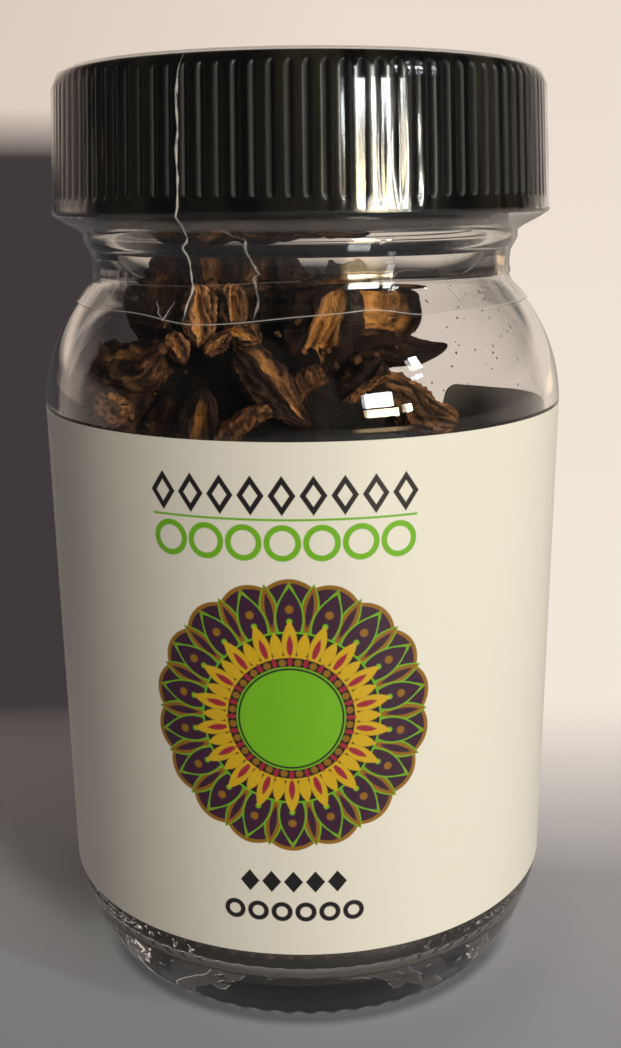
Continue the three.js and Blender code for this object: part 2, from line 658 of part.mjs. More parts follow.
function heapGeometry() {
  frontPieces();
  shoulderPieces();
  stripPieces();
  wholeStar();
  heelPieces();
  topPieces();
  const heap = wasm.Manifold.union([heapCore(), ...heapPieces]).intersect(heapRoom());
  return geometryOf(wholeBody(heap));
}

// ---------------------------------------------------------------- the object

function mesh(name, geometry, color, roughness) {
  const material = new THREE.MeshStandardMaterial({ color, roughness, metalness: 0 });
  const object = new THREE.Mesh(geometry, material);
  object.name = name;
  return object;
}

const jarOfStarAnise = new THREE.Group();
jarOfStarAnise.name = 'jar_of_star_anise';
jarOfStarAnise.add(
  mesh('jar', jarGeometry(), 0xd9e2dc, 0.05),
  mesh('screw_cap', capGeometry(), 0x0c0c0e, 0.25),
  mesh('shrink_seal', sealGeometry(), 0xe9ecec, 0.1),
  mesh('label', labelGeometry(), 0xf1ebdc, 0.5),
  mesh('star_anise', heapGeometry(), 0x4a2a16, 0.75),
);

export default jarOfStarAnise;
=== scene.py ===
# %% [markdown]
# # A glass jar of star anise
# A small spice jar: clear glass, a ribbed black screw cap under a shrunk clear film, a paper
# label, and a heap of broken star anise inside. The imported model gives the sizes, so it is
# loaded first, and every piece below takes its place from it.

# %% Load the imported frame
import math

import bmesh
import bpy
from mathutils import Matrix, Vector, noise


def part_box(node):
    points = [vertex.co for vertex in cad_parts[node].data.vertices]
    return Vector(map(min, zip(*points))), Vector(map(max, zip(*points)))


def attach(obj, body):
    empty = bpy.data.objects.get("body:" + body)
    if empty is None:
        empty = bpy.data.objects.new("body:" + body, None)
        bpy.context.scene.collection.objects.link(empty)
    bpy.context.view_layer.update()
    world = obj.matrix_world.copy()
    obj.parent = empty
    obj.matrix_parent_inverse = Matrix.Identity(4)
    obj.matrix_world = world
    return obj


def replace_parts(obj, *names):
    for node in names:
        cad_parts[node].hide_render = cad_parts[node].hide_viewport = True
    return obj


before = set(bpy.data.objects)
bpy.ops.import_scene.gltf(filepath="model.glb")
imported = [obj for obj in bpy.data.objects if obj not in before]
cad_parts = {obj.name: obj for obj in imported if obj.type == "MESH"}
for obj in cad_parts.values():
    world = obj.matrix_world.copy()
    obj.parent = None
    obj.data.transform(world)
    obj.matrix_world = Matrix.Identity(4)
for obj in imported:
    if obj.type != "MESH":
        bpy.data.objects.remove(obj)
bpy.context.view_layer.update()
print("nodes:", sorted(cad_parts))

# %% [markdown]
# ## Units and small helpers
# Blender works in metres, but a jar is easier to think about in millimetres. Each piece is
# therefore shaped in millimetres, and one helper scales the finished mesh to metres, names
# it, and lets it ride on the jar's only body. Azimuths are counted from the front (-Y)
# towards +X.

# %% Millimetres, azimuths and a smooth step
MM = 0.001
TURN = 2 * math.pi


def node_box(name):
    """Lowest and highest corner of a node, in millimetres."""
    low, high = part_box(name)
    return low / MM, high / MM


def on_cylinder(azimuth, radius, z):
    return Vector((radius * math.sin(azimuth), -radius * math.cos(azimuth), z))


def polar(point):
    """A point's azimuth and its distance from the axis."""
    return math.atan2(point.x, -point.y), math.hypot(point.x, point.y)


def mix(a, b, share):
    return a + (b - a) * share


def smooth(value, low, high):
    share = min(max((value - low) / (high - low), 0.0), 1.0)
    return share * share * (3 - 2 * share)


def bell(value, width):
    return math.exp(-((value / width) ** 2))


def ripple(x, y, z):
    """Smooth noise between -1 and 1."""
    return noise.noise(Vector((x, y, z)))


def steps(low, high, count):
    return [mix(low, high, i / count) for i in range(count + 1)]


print("jar box in mm:", node_box("jar"))

# %% [markdown]
# ## From a bmesh to a piece
# A round thing is a profile turned round the axis, which is what spin does. Many small
# steps are slow, because each step looks at the whole mesh again. So an eighth is spun
# first, a second spin copies it seven times, and remove_doubles welds the seams and the
# poles. Last, the normals are made to point outwards.

# %% Turn a profile, and finish a piece


def everything(bm):
    return bm.verts[:] + bm.edges[:] + bm.faces[:]


def face_outwards(bm):
    bmesh.ops.recalc_face_normals(bm, faces=bm.faces[:])


def turned(profile, sides):
    """A bmesh from (radius, height) points turned round the Z axis. Sides divide by 8."""
    bm = bmesh.new()
    verts = [bm.verts.new((radius, 0, z)) for radius, z in profile]
    edges = [bm.edges.new(pair) for pair in zip(verts, verts[1:])]
    bmesh.ops.spin(
        bm, geom=verts + edges, cent=(0, 0, 0), axis=(0, 0, 1),
        angle=TURN / 8, steps=sides // 8,
    )
    bmesh.ops.spin(
        bm, geom=everything(bm), cent=(0, 0, 0), axis=(0, 0, 1),
        angle=TURN * 7 / 8, steps=7, use_duplicate=True,
    )
    bmesh.ops.remove_doubles(bm, verts=bm.verts[:], dist=1e-4)
    face_outwards(bm)
    return bm


def join(bm, part):
    """Adds one bmesh to another."""
    mesh = bpy.data.meshes.new("part")
    part.to_mesh(mesh)
    part.free()
    bm.from_mesh(mesh)
    bpy.data.meshes.remove(mesh)


def finish_piece(name, bm, material, sharp=None):
    """Scales a bmesh to metres and makes it a piece that rides on the jar's body."""
    bmesh.ops.scale(bm, vec=(MM, MM, MM), verts=bm.verts[:])
    mesh = bpy.data.meshes.new(name)
    bm.to_mesh(mesh)
    bm.free()
    mesh.shade_smooth()
    if sharp is not None:
        mesh.set_sharp_from_angle(angle=math.radians(sharp))
    mesh.materials.append(material)
    piece = bpy.data.objects.new(name, mesh)
    bpy.context.scene.collection.objects.link(piece)
    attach(piece, "root")
    mesh.calc_loop_triangles()
    print(f"{name}: {len(mesh.loop_triangles)} triangles")
    return piece


# %% [markdown]
# ## Materials are node trees
# A material is a tree of nodes that ends in a shader. Wiring nodes one by one makes long
# code, so a small class keeps a tree and adds nodes to it, and a second one, built on it,
# adds what a material needs. A third class wraps one number that the tree works out at
# every point, with plus, minus, times and over, so that a pattern can be written as a
# formula.

# %% Node helpers


class Field:
    """A number worked out at each point by math nodes."""

    def __init__(self, tree, socket):
        self.tree = tree
        self.socket = socket

    def apply(self, operation, *others, clamp=False):
        node = self.tree.nodes.new("ShaderNodeMath")
        node.operation = operation
        node.use_clamp = clamp
        for slot, value in zip(node.inputs, (self, *others)):
            if isinstance(value, Field):
                self.tree.links.new(value.socket, slot)
            else:
                slot.default_value = value
        return Field(self.tree, node.outputs[0])

    def __add__(self, other):
        return self.apply("ADD", other)

    def __sub__(self, other):
        return self.apply("SUBTRACT", other)

    def __mul__(self, other):
        return self.apply("MULTIPLY", other)

    def __truediv__(self, other):
        return self.apply("DIVIDE", other)

    def size(self):
        return self.apply("ABSOLUTE")

    def far(self, other):
        """The length of a flat vector."""
        return (self * self + other * other).apply("SQRT")

    def at_least(self, other):
        return self.apply("MAXIMUM", other)

    def ramp(self, low, high):
        """0 below low, 1 above high, straight in between. High may be the smaller one."""
        return ((self - low) * (1 / (high - low))).apply("ADD", 0.0, clamp=True)


class Nodes:
    """A node tree, and short ways to add to it."""

    def __init__(self, tree):
        self.tree = tree

    def node(self, kind, **settings):
        made = self.tree.nodes.new("ShaderNode" + kind)
        for key, value in settings.items():
            setattr(made, key, value)
        return made

    def link(self, source, target):
        self.tree.links.new(source, target)

    def field(self, socket):
        return Field(self.tree, socket)

    def split(self, vector):
        """The three numbers of a vector."""
        parts = self.node("SeparateXYZ")
        self.link(vector, parts.inputs[0])
        return [self.field(socket) for socket in parts.outputs]

    def ray(self, kind):
        """1 for rays of a kind, such as Glossy, and 0 for the others."""
        return self.field(self.node("LightPath").outputs[f"Is {kind} Ray"])

    def colour(self, below, above, share):
        """A mix of two colours. Each is a colour or another mix, and share is a Field."""
        made = self.node("Mix", data_type="RGBA")
        self.link(share.socket, made.inputs["Factor"])
        for socket, value in ((made.inputs[6], below), (made.inputs[7], above)):
            if isinstance(value, tuple):
                socket.default_value = (*value, 1)
            else:
                self.link(value, socket)
        return made.outputs[2]

    def blend(self, first, second, share):
        """A mix of two shaders. Share is a Field or a number."""
        made = self.node("MixShader")
        if isinstance(share, Field):
            self.link(share.socket, made.inputs[0])
        else:
            made.inputs[0].default_value = share
        self.link(first.outputs[0], made.inputs[1])
        self.link(second.outputs[0], made.inputs[2])
        return made


class Finish(Nodes):
    """A material, its node tree and its Principled shader."""

    def __init__(self, name):
        self.material = bpy.data.materials.new(name)
        self.material.use_nodes = True
        super().__init__(self.material.node_tree)
        self.shader = self.tree.nodes["Principled BSDF"]

    def set(self, **values):
        """Sets plain values on the shader."""
        for key, value in values.items():
            self.shader.inputs[key.replace("_", " ")].default_value = value

    def drive(self, **sources):
        """Links fields or colours to the shader."""
        for key, source in sources.items():
            socket = source.socket if isinstance(source, Field) else source
            self.link(socket, self.shader.inputs[key.replace("_", " ")])

    def surface(self, made):
        self.link(made.outputs[0], self.tree.nodes["Material Output"].inputs["Surface"])
        return self.material

    def place(self):
        """The piece's own coordinates, in metres."""
        return self.node("TexCoord").outputs["Object"]

    def attribute(self, name):
        return self.field(self.node("Attribute", attribute_name=name).outputs["Fac"])

    def noise(self, scale, detail=4.0, stretch=(1, 1, 1), on=None):
        """Noise on the piece's own coordinates, with the scale in waves per metre, or on a
        vector attribute."""
        mapping = self.node("Mapping")
        mapping.inputs["Scale"].default_value = stretch
        place = self.place() if on is None else \
            self.node("Attribute", attribute_name=on).outputs["Vector"]
        self.link(place, mapping.inputs["Vector"])
        texture = self.node("TexNoise")
        texture.inputs["Scale"].default_value = scale
        texture.inputs["Detail"].default_value = detail
        self.link(mapping.outputs["Vector"], texture.inputs["Vector"])
        return self.field(texture.outputs["Fac"])

    def relief(self, height, distance, strength):
        """The normal of a height field. Distance is in metres."""
        made = self.node("Bump")
        made.inputs["Strength"].default_value = strength
        made.inputs["Distance"].default_value = distance
        self.link(height.socket, made.inputs["Height"])
        return made.outputs["Normal"]

    def bump(self, height, distance, strength):
        self.drive(Normal=self.relief(height, distance, strength))


print("helpers ready")

# %% [markdown]
# ## The glass
# Glass is a dielectric: it bends light and mirrors a little of it. Principled does both with
# Transmission at 1 and an IOR of 1.5. Cycles would treat the glass as a wall for the lamps'
# shadow rays, which would leave the heap inside black, so those rays alone get a
# Transparent shader. The mould leaves bottle glass a little wavy, and a weak, wide noise in
# the bump does that. The same bump carries the low bars that a mould presses into the heel.
# Thick glass has a breath of haze, so the heel gets glasses of its own with a per cent or
# two less Transmission.

# %% Glass material


def clear_glass(name, share):
    finish = Finish(name)
    finish.set(Base_Color=(0.935, 0.922, 0.905, 1), Roughness=0.0, IOR=1.5)
    finish.set(Transmission_Weight=share)
    x, y, z = finish.split(finish.place())
    around = y.apply("ARCTAN2", x) * (1 / TURN)
    band = (z - 0.0052).size().ramp(0.0016, 0.0004)
    outside = x.far(y).ramp(0.0229, 0.0233)
    bar = ((around * 44).apply("FRACT") - 0.5).size().ramp(0.40, 0.10)
    group = ((around * 9).apply("FRACT") - 0.5).size().ramp(0.42, 0.38)
    wavy = finish.noise(55, 1.5, (1, 1, 0.6))
    finish.bump(wavy + band * outside * bar * group * 0.35, 0.00035, 0.35)
    through = finish.node("BsdfTransparent")
    through.inputs["Color"].default_value = (0.9, 0.92, 0.91, 1)
    return finish.surface(finish.blend(finish.shader, through, finish.ray("Shadow")))


GLASS = clear_glass("clear_glass", 1.0)
print("glass nodes:", len(GLASS.node_tree.nodes))

# %% [markdown]
# ## The jar's two surfaces
# The outside runs from a pushed-up bottom over the standing ring, a rounded heel, the
# shallow recess for the label, a round shoulder and a fillet into the neck, to a bead and
# the threaded mouth. The inside follows it with a rounded floor corner. Both are written as
# a radius for each height, because the heap must know later how much room it has.

# %% Radii of the glass
BODY_RADIUS = 25.95
BODY_FOOT_RADIUS = 25.6
STAND_RADIUS = 21.0
STAND_WIDTH = 1.8
PUNT_HEIGHT = 2.6
HEEL_HEIGHT = 10.6
HEEL_ROUNDNESS = 1.3
PANEL_RECESS = 0.4
SHOULDER_Z = 57.9
SHOULDER_ARC = 16.4
NECK_RADIUS = 20.35
NECK_FILLET = 1.5
BEAD_Z = 74.3
BEAD_RADIUS = 20.98
BEAD_HALF_HEIGHT = 1.1
FINISH_RADIUS = 20.5
MOUTH_RADIUS = 18.5
MOUTH_Z = node_box("jar")[1].z
WALL = 1.4
FLOOR_RADIUS = 23.9
FLOOR_Z = 4.8
FLOOR_RISE = 0.8
FLOOR_CORNER = 6.0
SHOULDER_CENTRE = BODY_RADIUS - SHOULDER_ARC
FILLET_AT = NECK_RADIUS + NECK_FILLET
FILLET_ANGLE = math.acos((FILLET_AT - SHOULDER_CENTRE) / (SHOULDER_ARC + NECK_FILLET))
FILLET_Z = SHOULDER_Z + (SHOULDER_ARC + NECK_FILLET) * math.sin(FILLET_ANGLE)


def shoulder_radius(z, offset):
    """The shoulder's arc and the fillet into the neck, set in by an offset."""
    arc = SHOULDER_ARC - offset
    fillet = NECK_FILLET + offset
    if z < SHOULDER_Z + arc * math.sin(FILLET_ANGLE):
        return SHOULDER_CENTRE + math.sqrt(arc**2 - (z - SHOULDER_Z) ** 2)
    if z < FILLET_Z:
        return FILLET_AT - math.sqrt(fillet**2 - (FILLET_Z - z) ** 2)
    return NECK_RADIUS - offset


def outside_radius(z):
    if z < HEEL_HEIGHT:
        turn = math.acos((1 - z / HEEL_HEIGHT) ** (1 / HEEL_ROUNDNESS))
        return mix(STAND_RADIUS, BODY_FOOT_RADIUS, math.sin(turn) ** HEEL_ROUNDNESS)
    if z < SHOULDER_Z:
        share = (z - HEEL_HEIGHT) / (SHOULDER_Z - HEEL_HEIGHT)
        return mix(BODY_FOOT_RADIUS, BODY_RADIUS, share)
    return shoulder_radius(z, 0)


def inside_radius(z):
    corner_top = FLOOR_Z + FLOOR_CORNER
    if z < corner_top:
        drop = min(corner_top - z, FLOOR_CORNER)
        return FLOOR_RADIUS - FLOOR_CORNER + math.sqrt(FLOOR_CORNER**2 - drop**2)
    if z < SHOULDER_Z:
        share = (z - corner_top) / (SHOULDER_Z - corner_top)
        return mix(FLOOR_RADIUS, BODY_RADIUS - WALL, share)
    return max(shoulder_radius(z, WALL), MOUTH_RADIUS)


print("radii at z 62:", round(outside_radius(62), 2), round(inside_radius(62), 2))

# %% [markdown]
# ## Blowing the jar
# The whole glass is one closed profile, outside up and inside down, turned in 496 steps:
# eight to each of the 62 little ridges of the knurled ring that the jar stands on. The
# ridges are made by lifting points of the ring. The screw thread is a tapered ridge wound
# round the mouth.

# %% Jar
JAR_STEPS = 496
KNURLS = 62
KNURL_RADIUS = 21.2
KNURL_TOP_Z = 1.4
KNURL_LIFT = 0.3
THREAD_PITCH = 4.0
THREAD_TURNS = 1.2
THREAD_DEPTH = 1.0
JAR_THREAD_Z = 79.4
HEEL_FOOT_Z = 1.3
HEEL_LINE_Z = 5.6
HEEL_GLASSES = (("heel_glass_low", 0.992), ("heel_glass_high", 0.974))
LABEL_LOW, LABEL_HIGH = node_box("label")
PANEL_BOTTOM = LABEL_LOW.z - 0.3
PANEL_TOP = LABEL_HIGH.z + 0.3


def jar_profile():
    recess = PANEL_RECESS
    outside = [(0, PUNT_HEIGHT), (6, 0.95 * PUNT_HEIGHT), (11, 0.8 * PUNT_HEIGHT)]
    outside += [(15, 0.5 * PUNT_HEIGHT), (STAND_RADIUS - STAND_WIDTH - 1, 0.4)]
    outside += [(STAND_RADIUS - STAND_WIDTH, 0), (STAND_RADIUS - 0.5 * STAND_WIDTH, 0)]
    heel = [(PANEL_BOTTOM - 1.2) * t * t for t in steps(0, 1, 24)]
    outside += [(outside_radius(z), z) for z in heel]
    for t in steps(0.2, 1, 4):
        z = mix(PANEL_BOTTOM - 1.2, PANEL_BOTTOM + 0.3, t)
        outside.append((outside_radius(z) - recess * smooth(t, 0, 1), z))
    low = outside_radius(PANEL_BOTTOM)
    high = outside_radius(PANEL_TOP)
    outside += [(mix(low, high, t) - recess, mix(PANEL_BOTTOM, PANEL_TOP, t))
                for t in steps(0.05, 0.93, 8)]
    for t in steps(0, 1, 5):
        z = mix(PANEL_TOP - 2.4, PANEL_TOP, t)
        outside.append((mix(outside_radius(z) - recess, outside_radius(z), smooth(t, 0, 1)), z))
    outside += [(outside_radius(z), z) for z in steps(PANEL_TOP + 0.5, FILLET_Z, 30)]
    neck_top = BEAD_Z - BEAD_HALF_HEIGHT
    outside += [(NECK_RADIUS, z) for z in steps(FILLET_Z + 0.4, neck_top - 0.2, 4)]
    for turn in steps(-1, 1, 8):
        bulge = (BEAD_RADIUS - NECK_RADIUS) * math.cos(0.5 * math.pi * turn) ** 0.5
        foot = NECK_RADIUS if turn < 0 else FINISH_RADIUS - 0.1
        outside.append((max(foot, NECK_RADIUS + bulge), BEAD_Z + BEAD_HALF_HEIGHT * turn))
    outside += [(FINISH_RADIUS, z) for z in steps(BEAD_Z + 1.3, MOUTH_Z - 0.6, 6)]
    outside += [(FINISH_RADIUS - 0.15, MOUTH_Z - 0.2), (FINISH_RADIUS - 0.5, MOUTH_Z)]
    inside = [(MOUTH_RADIUS + 0.5, MOUTH_Z), (MOUTH_RADIUS + 0.1, MOUTH_Z - 0.25)]
    inside += [(MOUTH_RADIUS, z) for z in steps(MOUTH_Z - 0.7, FILLET_Z + 1, 4)]
    inside += [(inside_radius(z), z) for z in steps(FILLET_Z, SHOULDER_Z, 24)]
    corner_top = FLOOR_Z + FLOOR_CORNER
    inside += [(inside_radius(z), z) for z in steps(SHOULDER_Z - 2, corner_top + 1, 6)]
    for turn in steps(0, 0.5 * math.pi, 12):
        inside.append((
            FLOOR_RADIUS - FLOOR_CORNER * (1 - math.cos(turn)),
            corner_top - FLOOR_CORNER * math.sin(turn),
        ))
    inside += [(r, FLOOR_Z + FLOOR_RISE * (1 - (r / 18) ** 2)) for r in (14, 9, 4, 0)]
    return outside + inside


def knurl(bm):
    """Draws the points of the standing ring out to its ridges and lifts those between."""
    for vert in bm.verts:
        azimuth, radius = polar(vert.co)
        if vert.co.z < KNURL_TOP_Z and STAND_RADIUS - STAND_WIDTH - 0.5 < radius:
            wave = 0.5 - 0.5 * math.cos(KNURLS * azimuth)
            z = vert.co.z + KNURL_LIFT * wave * (1 - vert.co.z / KNURL_TOP_Z)
            if radius > STAND_RADIUS - 0.1:
                crest = max(radius, KNURL_RADIUS)
                radius = mix(radius, crest, (1 - wave) * (1 - smooth(z, 0.5, KNURL_TOP_Z)))
            vert.co = on_cylinder(azimuth, radius, z)


def thread_ridge(wall_radius, outwards, start_z):
    """A ridge wound round the axis: its section climbs as it is spun, then both ends taper."""
    bm = bmesh.new()
    section = [(-0.3, -0.7), (-0.3, 0.7), (THREAD_DEPTH, 0.38), (THREAD_DEPTH, -0.38)]
    ring = [bm.verts.new((0, -wall_radius - outwards * depth, start_z + dz))
            for depth, dz in section]
    loop = [bm.edges.new(pair) for pair in zip(ring, ring[1:] + ring[:1])]
    count = round(THREAD_TURNS * 120)
    spun = bmesh.ops.spin(
        bm, geom=ring + loop, cent=(0, 0, 0), axis=(0, 0, 1), angle=TURN * THREAD_TURNS,
        steps=count, dvec=(0, 0, THREAD_PITCH * THREAD_TURNS / count),
    )
    last = [item for item in spun["geom_last"] if isinstance(item, bmesh.types.BMEdge)]
    bmesh.ops.contextual_create(bm, geom=loop)
    bmesh.ops.contextual_create(bm, geom=last)
    for vert in bm.verts:
        azimuth, radius = polar(vert.co)
        azimuth %= TURN
        lap = round((vert.co.z - start_z) / THREAD_PITCH - azimuth / TURN)
        along = (azimuth / TURN + lap) / THREAD_TURNS
        ramp = min(1, max(0, 8 * min(along, 1 - along)) + 0.05)
        proud = outwards * (radius - wall_radius)
        if proud > 0:
            vert.co = on_cylinder(azimuth, wall_radius + outwards * proud * ramp, vert.co.z)
    face_outwards(bm)
    return bm


def make_jar():
    bm = turned(jar_profile(), JAR_STEPS)
    knurl(bm)
    join(bm, thread_ridge(FINISH_RADIUS, 1, JAR_THREAD_Z))
    for face in bm.faces:
        middle = face.calc_center_median()
        outside = polar(middle)[1] > outside_radius(max(0, middle.z)) - 0.6
        if outside and HEEL_FOOT_Z < middle.z < PANEL_BOTTOM + 0.6:
            face.material_index = 1 if middle.z < HEEL_LINE_Z else 2
    piece = finish_piece("glass_jar", bm, GLASS, sharp=60)
    for name, share in HEEL_GLASSES:
        piece.data.materials.append(clear_glass(name, share))
    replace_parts(piece, "jar")


make_jar()

# %% [markdown]
# ## The screw cap
# A moulded cap has ribs so that wet fingers can grip it. One turned profile gives the
# smooth cap, with eight steps to each rib, and then the points of the skirt are moved in
# between the ribs: the absolute value of a cosine has round crests and sharp valleys, and a
# smooth step on it leaves broad, nearly flat ribs with narrow grooves. An attribute marks
# the grooves, which are duller than the ribs. Olive streaks of painted sheen lie on the
# ribs' faces and stay out of the grooves.

# %% Cap
CAP_LOW, CAP_HIGH = node_box("screw_cap")
CAP_BOTTOM_Z = CAP_LOW.z
CAP_TOP_Z = CAP_HIGH.z
CAP_RADIUS = CAP_HIGH.y
CAP_SHOULDER_RADIUS = CAP_RADIUS - 0.65
CAP_ROUNDING = 1.5
CAP_BORE = 21.9
RIBS = 100
RIB_DEPTH = 0.5
RIB_FOOT_Z = CAP_BOTTOM_Z + 1.4
RIB_TOP_Z = CAP_TOP_Z - CAP_ROUNDING
CAP_THREAD_Z = 78.0


def black_plastic():
    finish = Finish("black_plastic")
    grain = finish.noise(900, 3)
    streak = finish.noise(420, 3, (1, 1, 0.05)).ramp(0.42, 0.70)
    finish.set(IOR=1.5, Specular_IOR_Level=0.5)
    patch = finish.noise(75, 2, (1, 1, 0.05)).ramp(0.46, 0.60)
    valley = finish.attribute("valley")
    # painted sheen: olive streaks and patches on the ribs' faces stand in for reflections, and
    # stay out of the grooves
    lit = (streak * 0.4 + patch * streak) * (valley * -1 + 1)
    finish.drive(
        Base_Color=finish.colour((0.001, 0.001, 0.001), (0.020, 0.018, 0.011), lit),
        Roughness=grain * 0.06 + streak * 0.08 + 0.10 + valley * 0.45,
    )
    finish.bump(grain * 0.4 + streak, 0.00005, 0.5)
    return finish.material


def cap_radius(z):
    share = (z - CAP_BOTTOM_Z) / (RIB_TOP_Z - CAP_BOTTOM_Z)
    return mix(CAP_RADIUS, CAP_SHOULDER_RADIUS, share)


def make_cap():
    ceiling = CAP_TOP_Z - 1.5
    band = RIB_FOOT_Z - 0.15
    profile = [(CAP_BORE, ceiling), (CAP_BORE, CAP_BOTTOM_Z + 0.4)]
    profile += [(CAP_BORE + 0.3, CAP_BOTTOM_Z), (CAP_RADIUS - 0.25, CAP_BOTTOM_Z)]
    profile += [(CAP_RADIUS, CAP_BOTTOM_Z + 0.25), (cap_radius(band), band)]
    profile += [(cap_radius(z), z) for z in steps(RIB_FOOT_Z + 0.1, RIB_FOOT_Z + 0.6, 2)]
    profile += [(cap_radius(z), z) for z in steps(RIB_FOOT_Z + 1.2, RIB_TOP_Z - 0.6, 5)]
    for turn in steps(0, 0.5 * math.pi, 9):
        profile.append((
            CAP_SHOULDER_RADIUS - CAP_ROUNDING * (1 - math.cos(turn)),
            RIB_TOP_Z + CAP_ROUNDING * math.sin(turn),
        ))
    profile += [(21.0, CAP_TOP_Z), (20.6, CAP_TOP_Z - 0.15), (14, CAP_TOP_Z - 0.15)]
    profile += [(6, CAP_TOP_Z - 0.15), (0, CAP_TOP_Z - 0.15)]
    bm = turned([(0, ceiling)] + profile, 8 * RIBS)
    in_valley = bm.verts.layers.float.new("valley")
    for vert in bm.verts:
        azimuth, radius = polar(vert.co)
        z = vert.co.z
        if radius > CAP_BORE + 0.5 and z > RIB_FOOT_Z - 0.05:
            turn = 1 - abs(math.cos(0.5 * RIBS * azimuth))
            valley = 0.2 * turn + 0.8 * smooth(turn, 0.5, 1.0)
            runs_out = 1 - smooth(z, RIB_TOP_Z + 0.1, RIB_TOP_Z + 1.0)
            starts = smooth(z, RIB_FOOT_Z - 0.05, RIB_FOOT_Z + 0.5)
            own = ripple(0.9 * math.floor(RIBS * azimuth / TURN), 3, 0)
            depth = RIB_DEPTH * (0.8 + 0.55 * own) * valley * runs_out * starts
            vert[in_valley] = smooth(turn, 0.04, 0.32) * runs_out * starts
            vert.co = on_cylinder(azimuth, radius - depth, z)
    join(bm, thread_ridge(CAP_BORE, -1, CAP_THREAD_Z))
    piece = finish_piece("ribbed_cap", bm, black_plastic(), sharp=40)
    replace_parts(piece, "screw_cap")


make_cap()

# %% [markdown]
# ## The label's paper
# The label is a sheet bent round the panel: a grid whose columns become azimuths. Near the
# two ends the rows are drawn together to round the corners, and one end lies a little low,
# as a label does that was wrapped by hand. Solidify gives the sheet its thickness. Each point
# then keeps its place on the flat sheet in an attribute, in millimetres, so the print can be
# drawn as if the paper lay on a table.

# %% Label sheet
LABEL_RIGHT = math.radians(138)
LABEL_LEFT = math.radians(-143)
LABEL_CORNER = 2.4
LABEL_THICKNESS = 0.16
LABEL_SLIP = 1.5
LABEL_COLUMNS = 260


def label_radius(z):
    share = (z - LABEL_LOW.z) / (LABEL_HIGH.z - LABEL_LOW.z)
    return mix(outside_radius(LABEL_LOW.z), BODY_RADIUS, share)


def label_bmesh():
    bm = bmesh.new()
    bmesh.ops.create_grid(bm, x_segments=LABEL_COLUMNS, y_segments=24, size=0.5)
    half = (LABEL_HIGH.z - LABEL_LOW.z) / 2
    middle = (LABEL_HIGH.z + LABEL_LOW.z) / 2
    for vert in bm.verts:
        # points crowd towards both ends, where the corners are
        across = 0.5 * math.sin(math.pi * vert.co.x) * 0.25 + vert.co.x * 0.75
        azimuth = mix(LABEL_LEFT, LABEL_RIGHT, across + 0.5)
        to_end = min(azimuth - LABEL_LEFT, LABEL_RIGHT - azimuth) * BODY_RADIUS
        short = min(max(LABEL_CORNER - to_end, 0), LABEL_CORNER)
        trim = LABEL_CORNER - math.sqrt(LABEL_CORNER**2 - short**2)
        z = middle + 2 * vert.co.y * (half - trim)
        z -= LABEL_SLIP * smooth(azimuth, math.radians(75), LABEL_RIGHT)
        vert.co = on_cylinder(azimuth, label_radius(z), z)
    face_outwards(bm)
    outward = sum(f.normal.x * f.calc_center_median().x + f.normal.y * f.calc_center_median().y
                  for f in bm.faces)
    if outward < 0:
        bmesh.ops.reverse_faces(bm, faces=bm.faces[:])
    bmesh.ops.solidify(bm, geom=everything(bm), thickness=LABEL_THICKNESS)
    face_outwards(bm)
    sheet = bm.verts.layers.float_vector.new("sheet")
    for vert in bm.verts:
        azimuth, radius = polar(vert.co)
        front = 1.0 if radius > label_radius(vert.co.z) - 0.5 * LABEL_THICKNESS else 0.0
        vert[sheet] = Vector((azimuth * BODY_RADIUS, vert.co.z, front))
    return bm


print("label arc in degrees:", round(math.degrees(LABEL_RIGHT - LABEL_LEFT)))

# %% [markdown]
# ## The label's print
# A printed pattern is flat colour with crisp edges. Each shape is a distance formula that
# is clamped to 0 or 1 over a few hundredths of a millimetre. The round ornament is drawn in
# polar coordinates: the angle is folded into equal sectors, so one petal drawn in a sector
# appears all round. Two rows of small shapes stand above it and two short rows below.

# %% Label material
LIME = (0.18, 0.49, 0.014)
INK = (0.012, 0.010, 0.012)
PLUM = (0.045, 0.012, 0.035)
OCHRE = (0.30, 0.14, 0.012)
YELLOW = (0.66, 0.42, 0.012)
RED = (0.34, 0.022, 0.04)
PAPER = (0.86, 0.83, 0.73)
EDGE = 0.05
# painted shade: the colour of the label's back, seen through the glass
PAPER_BACK_PAINTED_SHADE = (0.30, 0.26, 0.215)
ROSETTE_MIDDLE = (-1.4, 33.4)
ROSETTE_SCALE = 1.1
ROSETTE_RADIUS = 11.8


def inked(distance):
    """1 where a distance in millimetres is below zero."""
    return distance.ramp(EDGE, -EDGE)


class Print:
    """Layers of flat colour on the label's sheet."""

    def __init__(self, finish):
        self.finish = finish
        sheet = finish.node("Attribute", attribute_name="sheet")
        self.across, self.up, self.front = finish.split(sheet.outputs["Vector"])
        self.colour = PAPER

    def lay(self, colour, distance):
        share = inked(distance) * self.front
        self.colour = self.finish.colour(self.colour, colour, share)

    def cell(self, middle_x, pitch, count):
        """Distance from the middle of the nearest cell of a row, and from the row's middle."""
        local = self.across - middle_x
        shift = 0.5 * ((count + 1) % 2)
        turn = local * (1 / pitch) - shift
        nearest = turn.apply("ROUND")
        return (turn - nearest) * pitch, local.size() - 0.5 * pitch * count

    def diamonds(self, colour, middle, pitch, count, half_high, line):
        x, row = self.cell(middle[0], pitch, count)
        y = self.up - middle[1]
        reach = x.size() * (half_high / (0.44 * pitch)) + y.size() - half_high
        shape = reach if line is None else (reach * 0.66 + line / 2).size() - line / 2
        self.lay(colour, shape.at_least(row))

    def rings(self, colour, middle, pitch, count, radius, line):
        x, row = self.cell(middle[0], pitch, count)
        far = x.far(self.up - middle[1]) - radius
        self.lay(colour, ((far + line / 2).size() - line / 2).at_least(row))

    def rule(self, colour, middle, half_long, half_high):
        x = (self.across - middle[0]).size() - half_long
        y = (self.up - middle[1]).size() - half_high
        self.lay(colour, x.at_least(y))


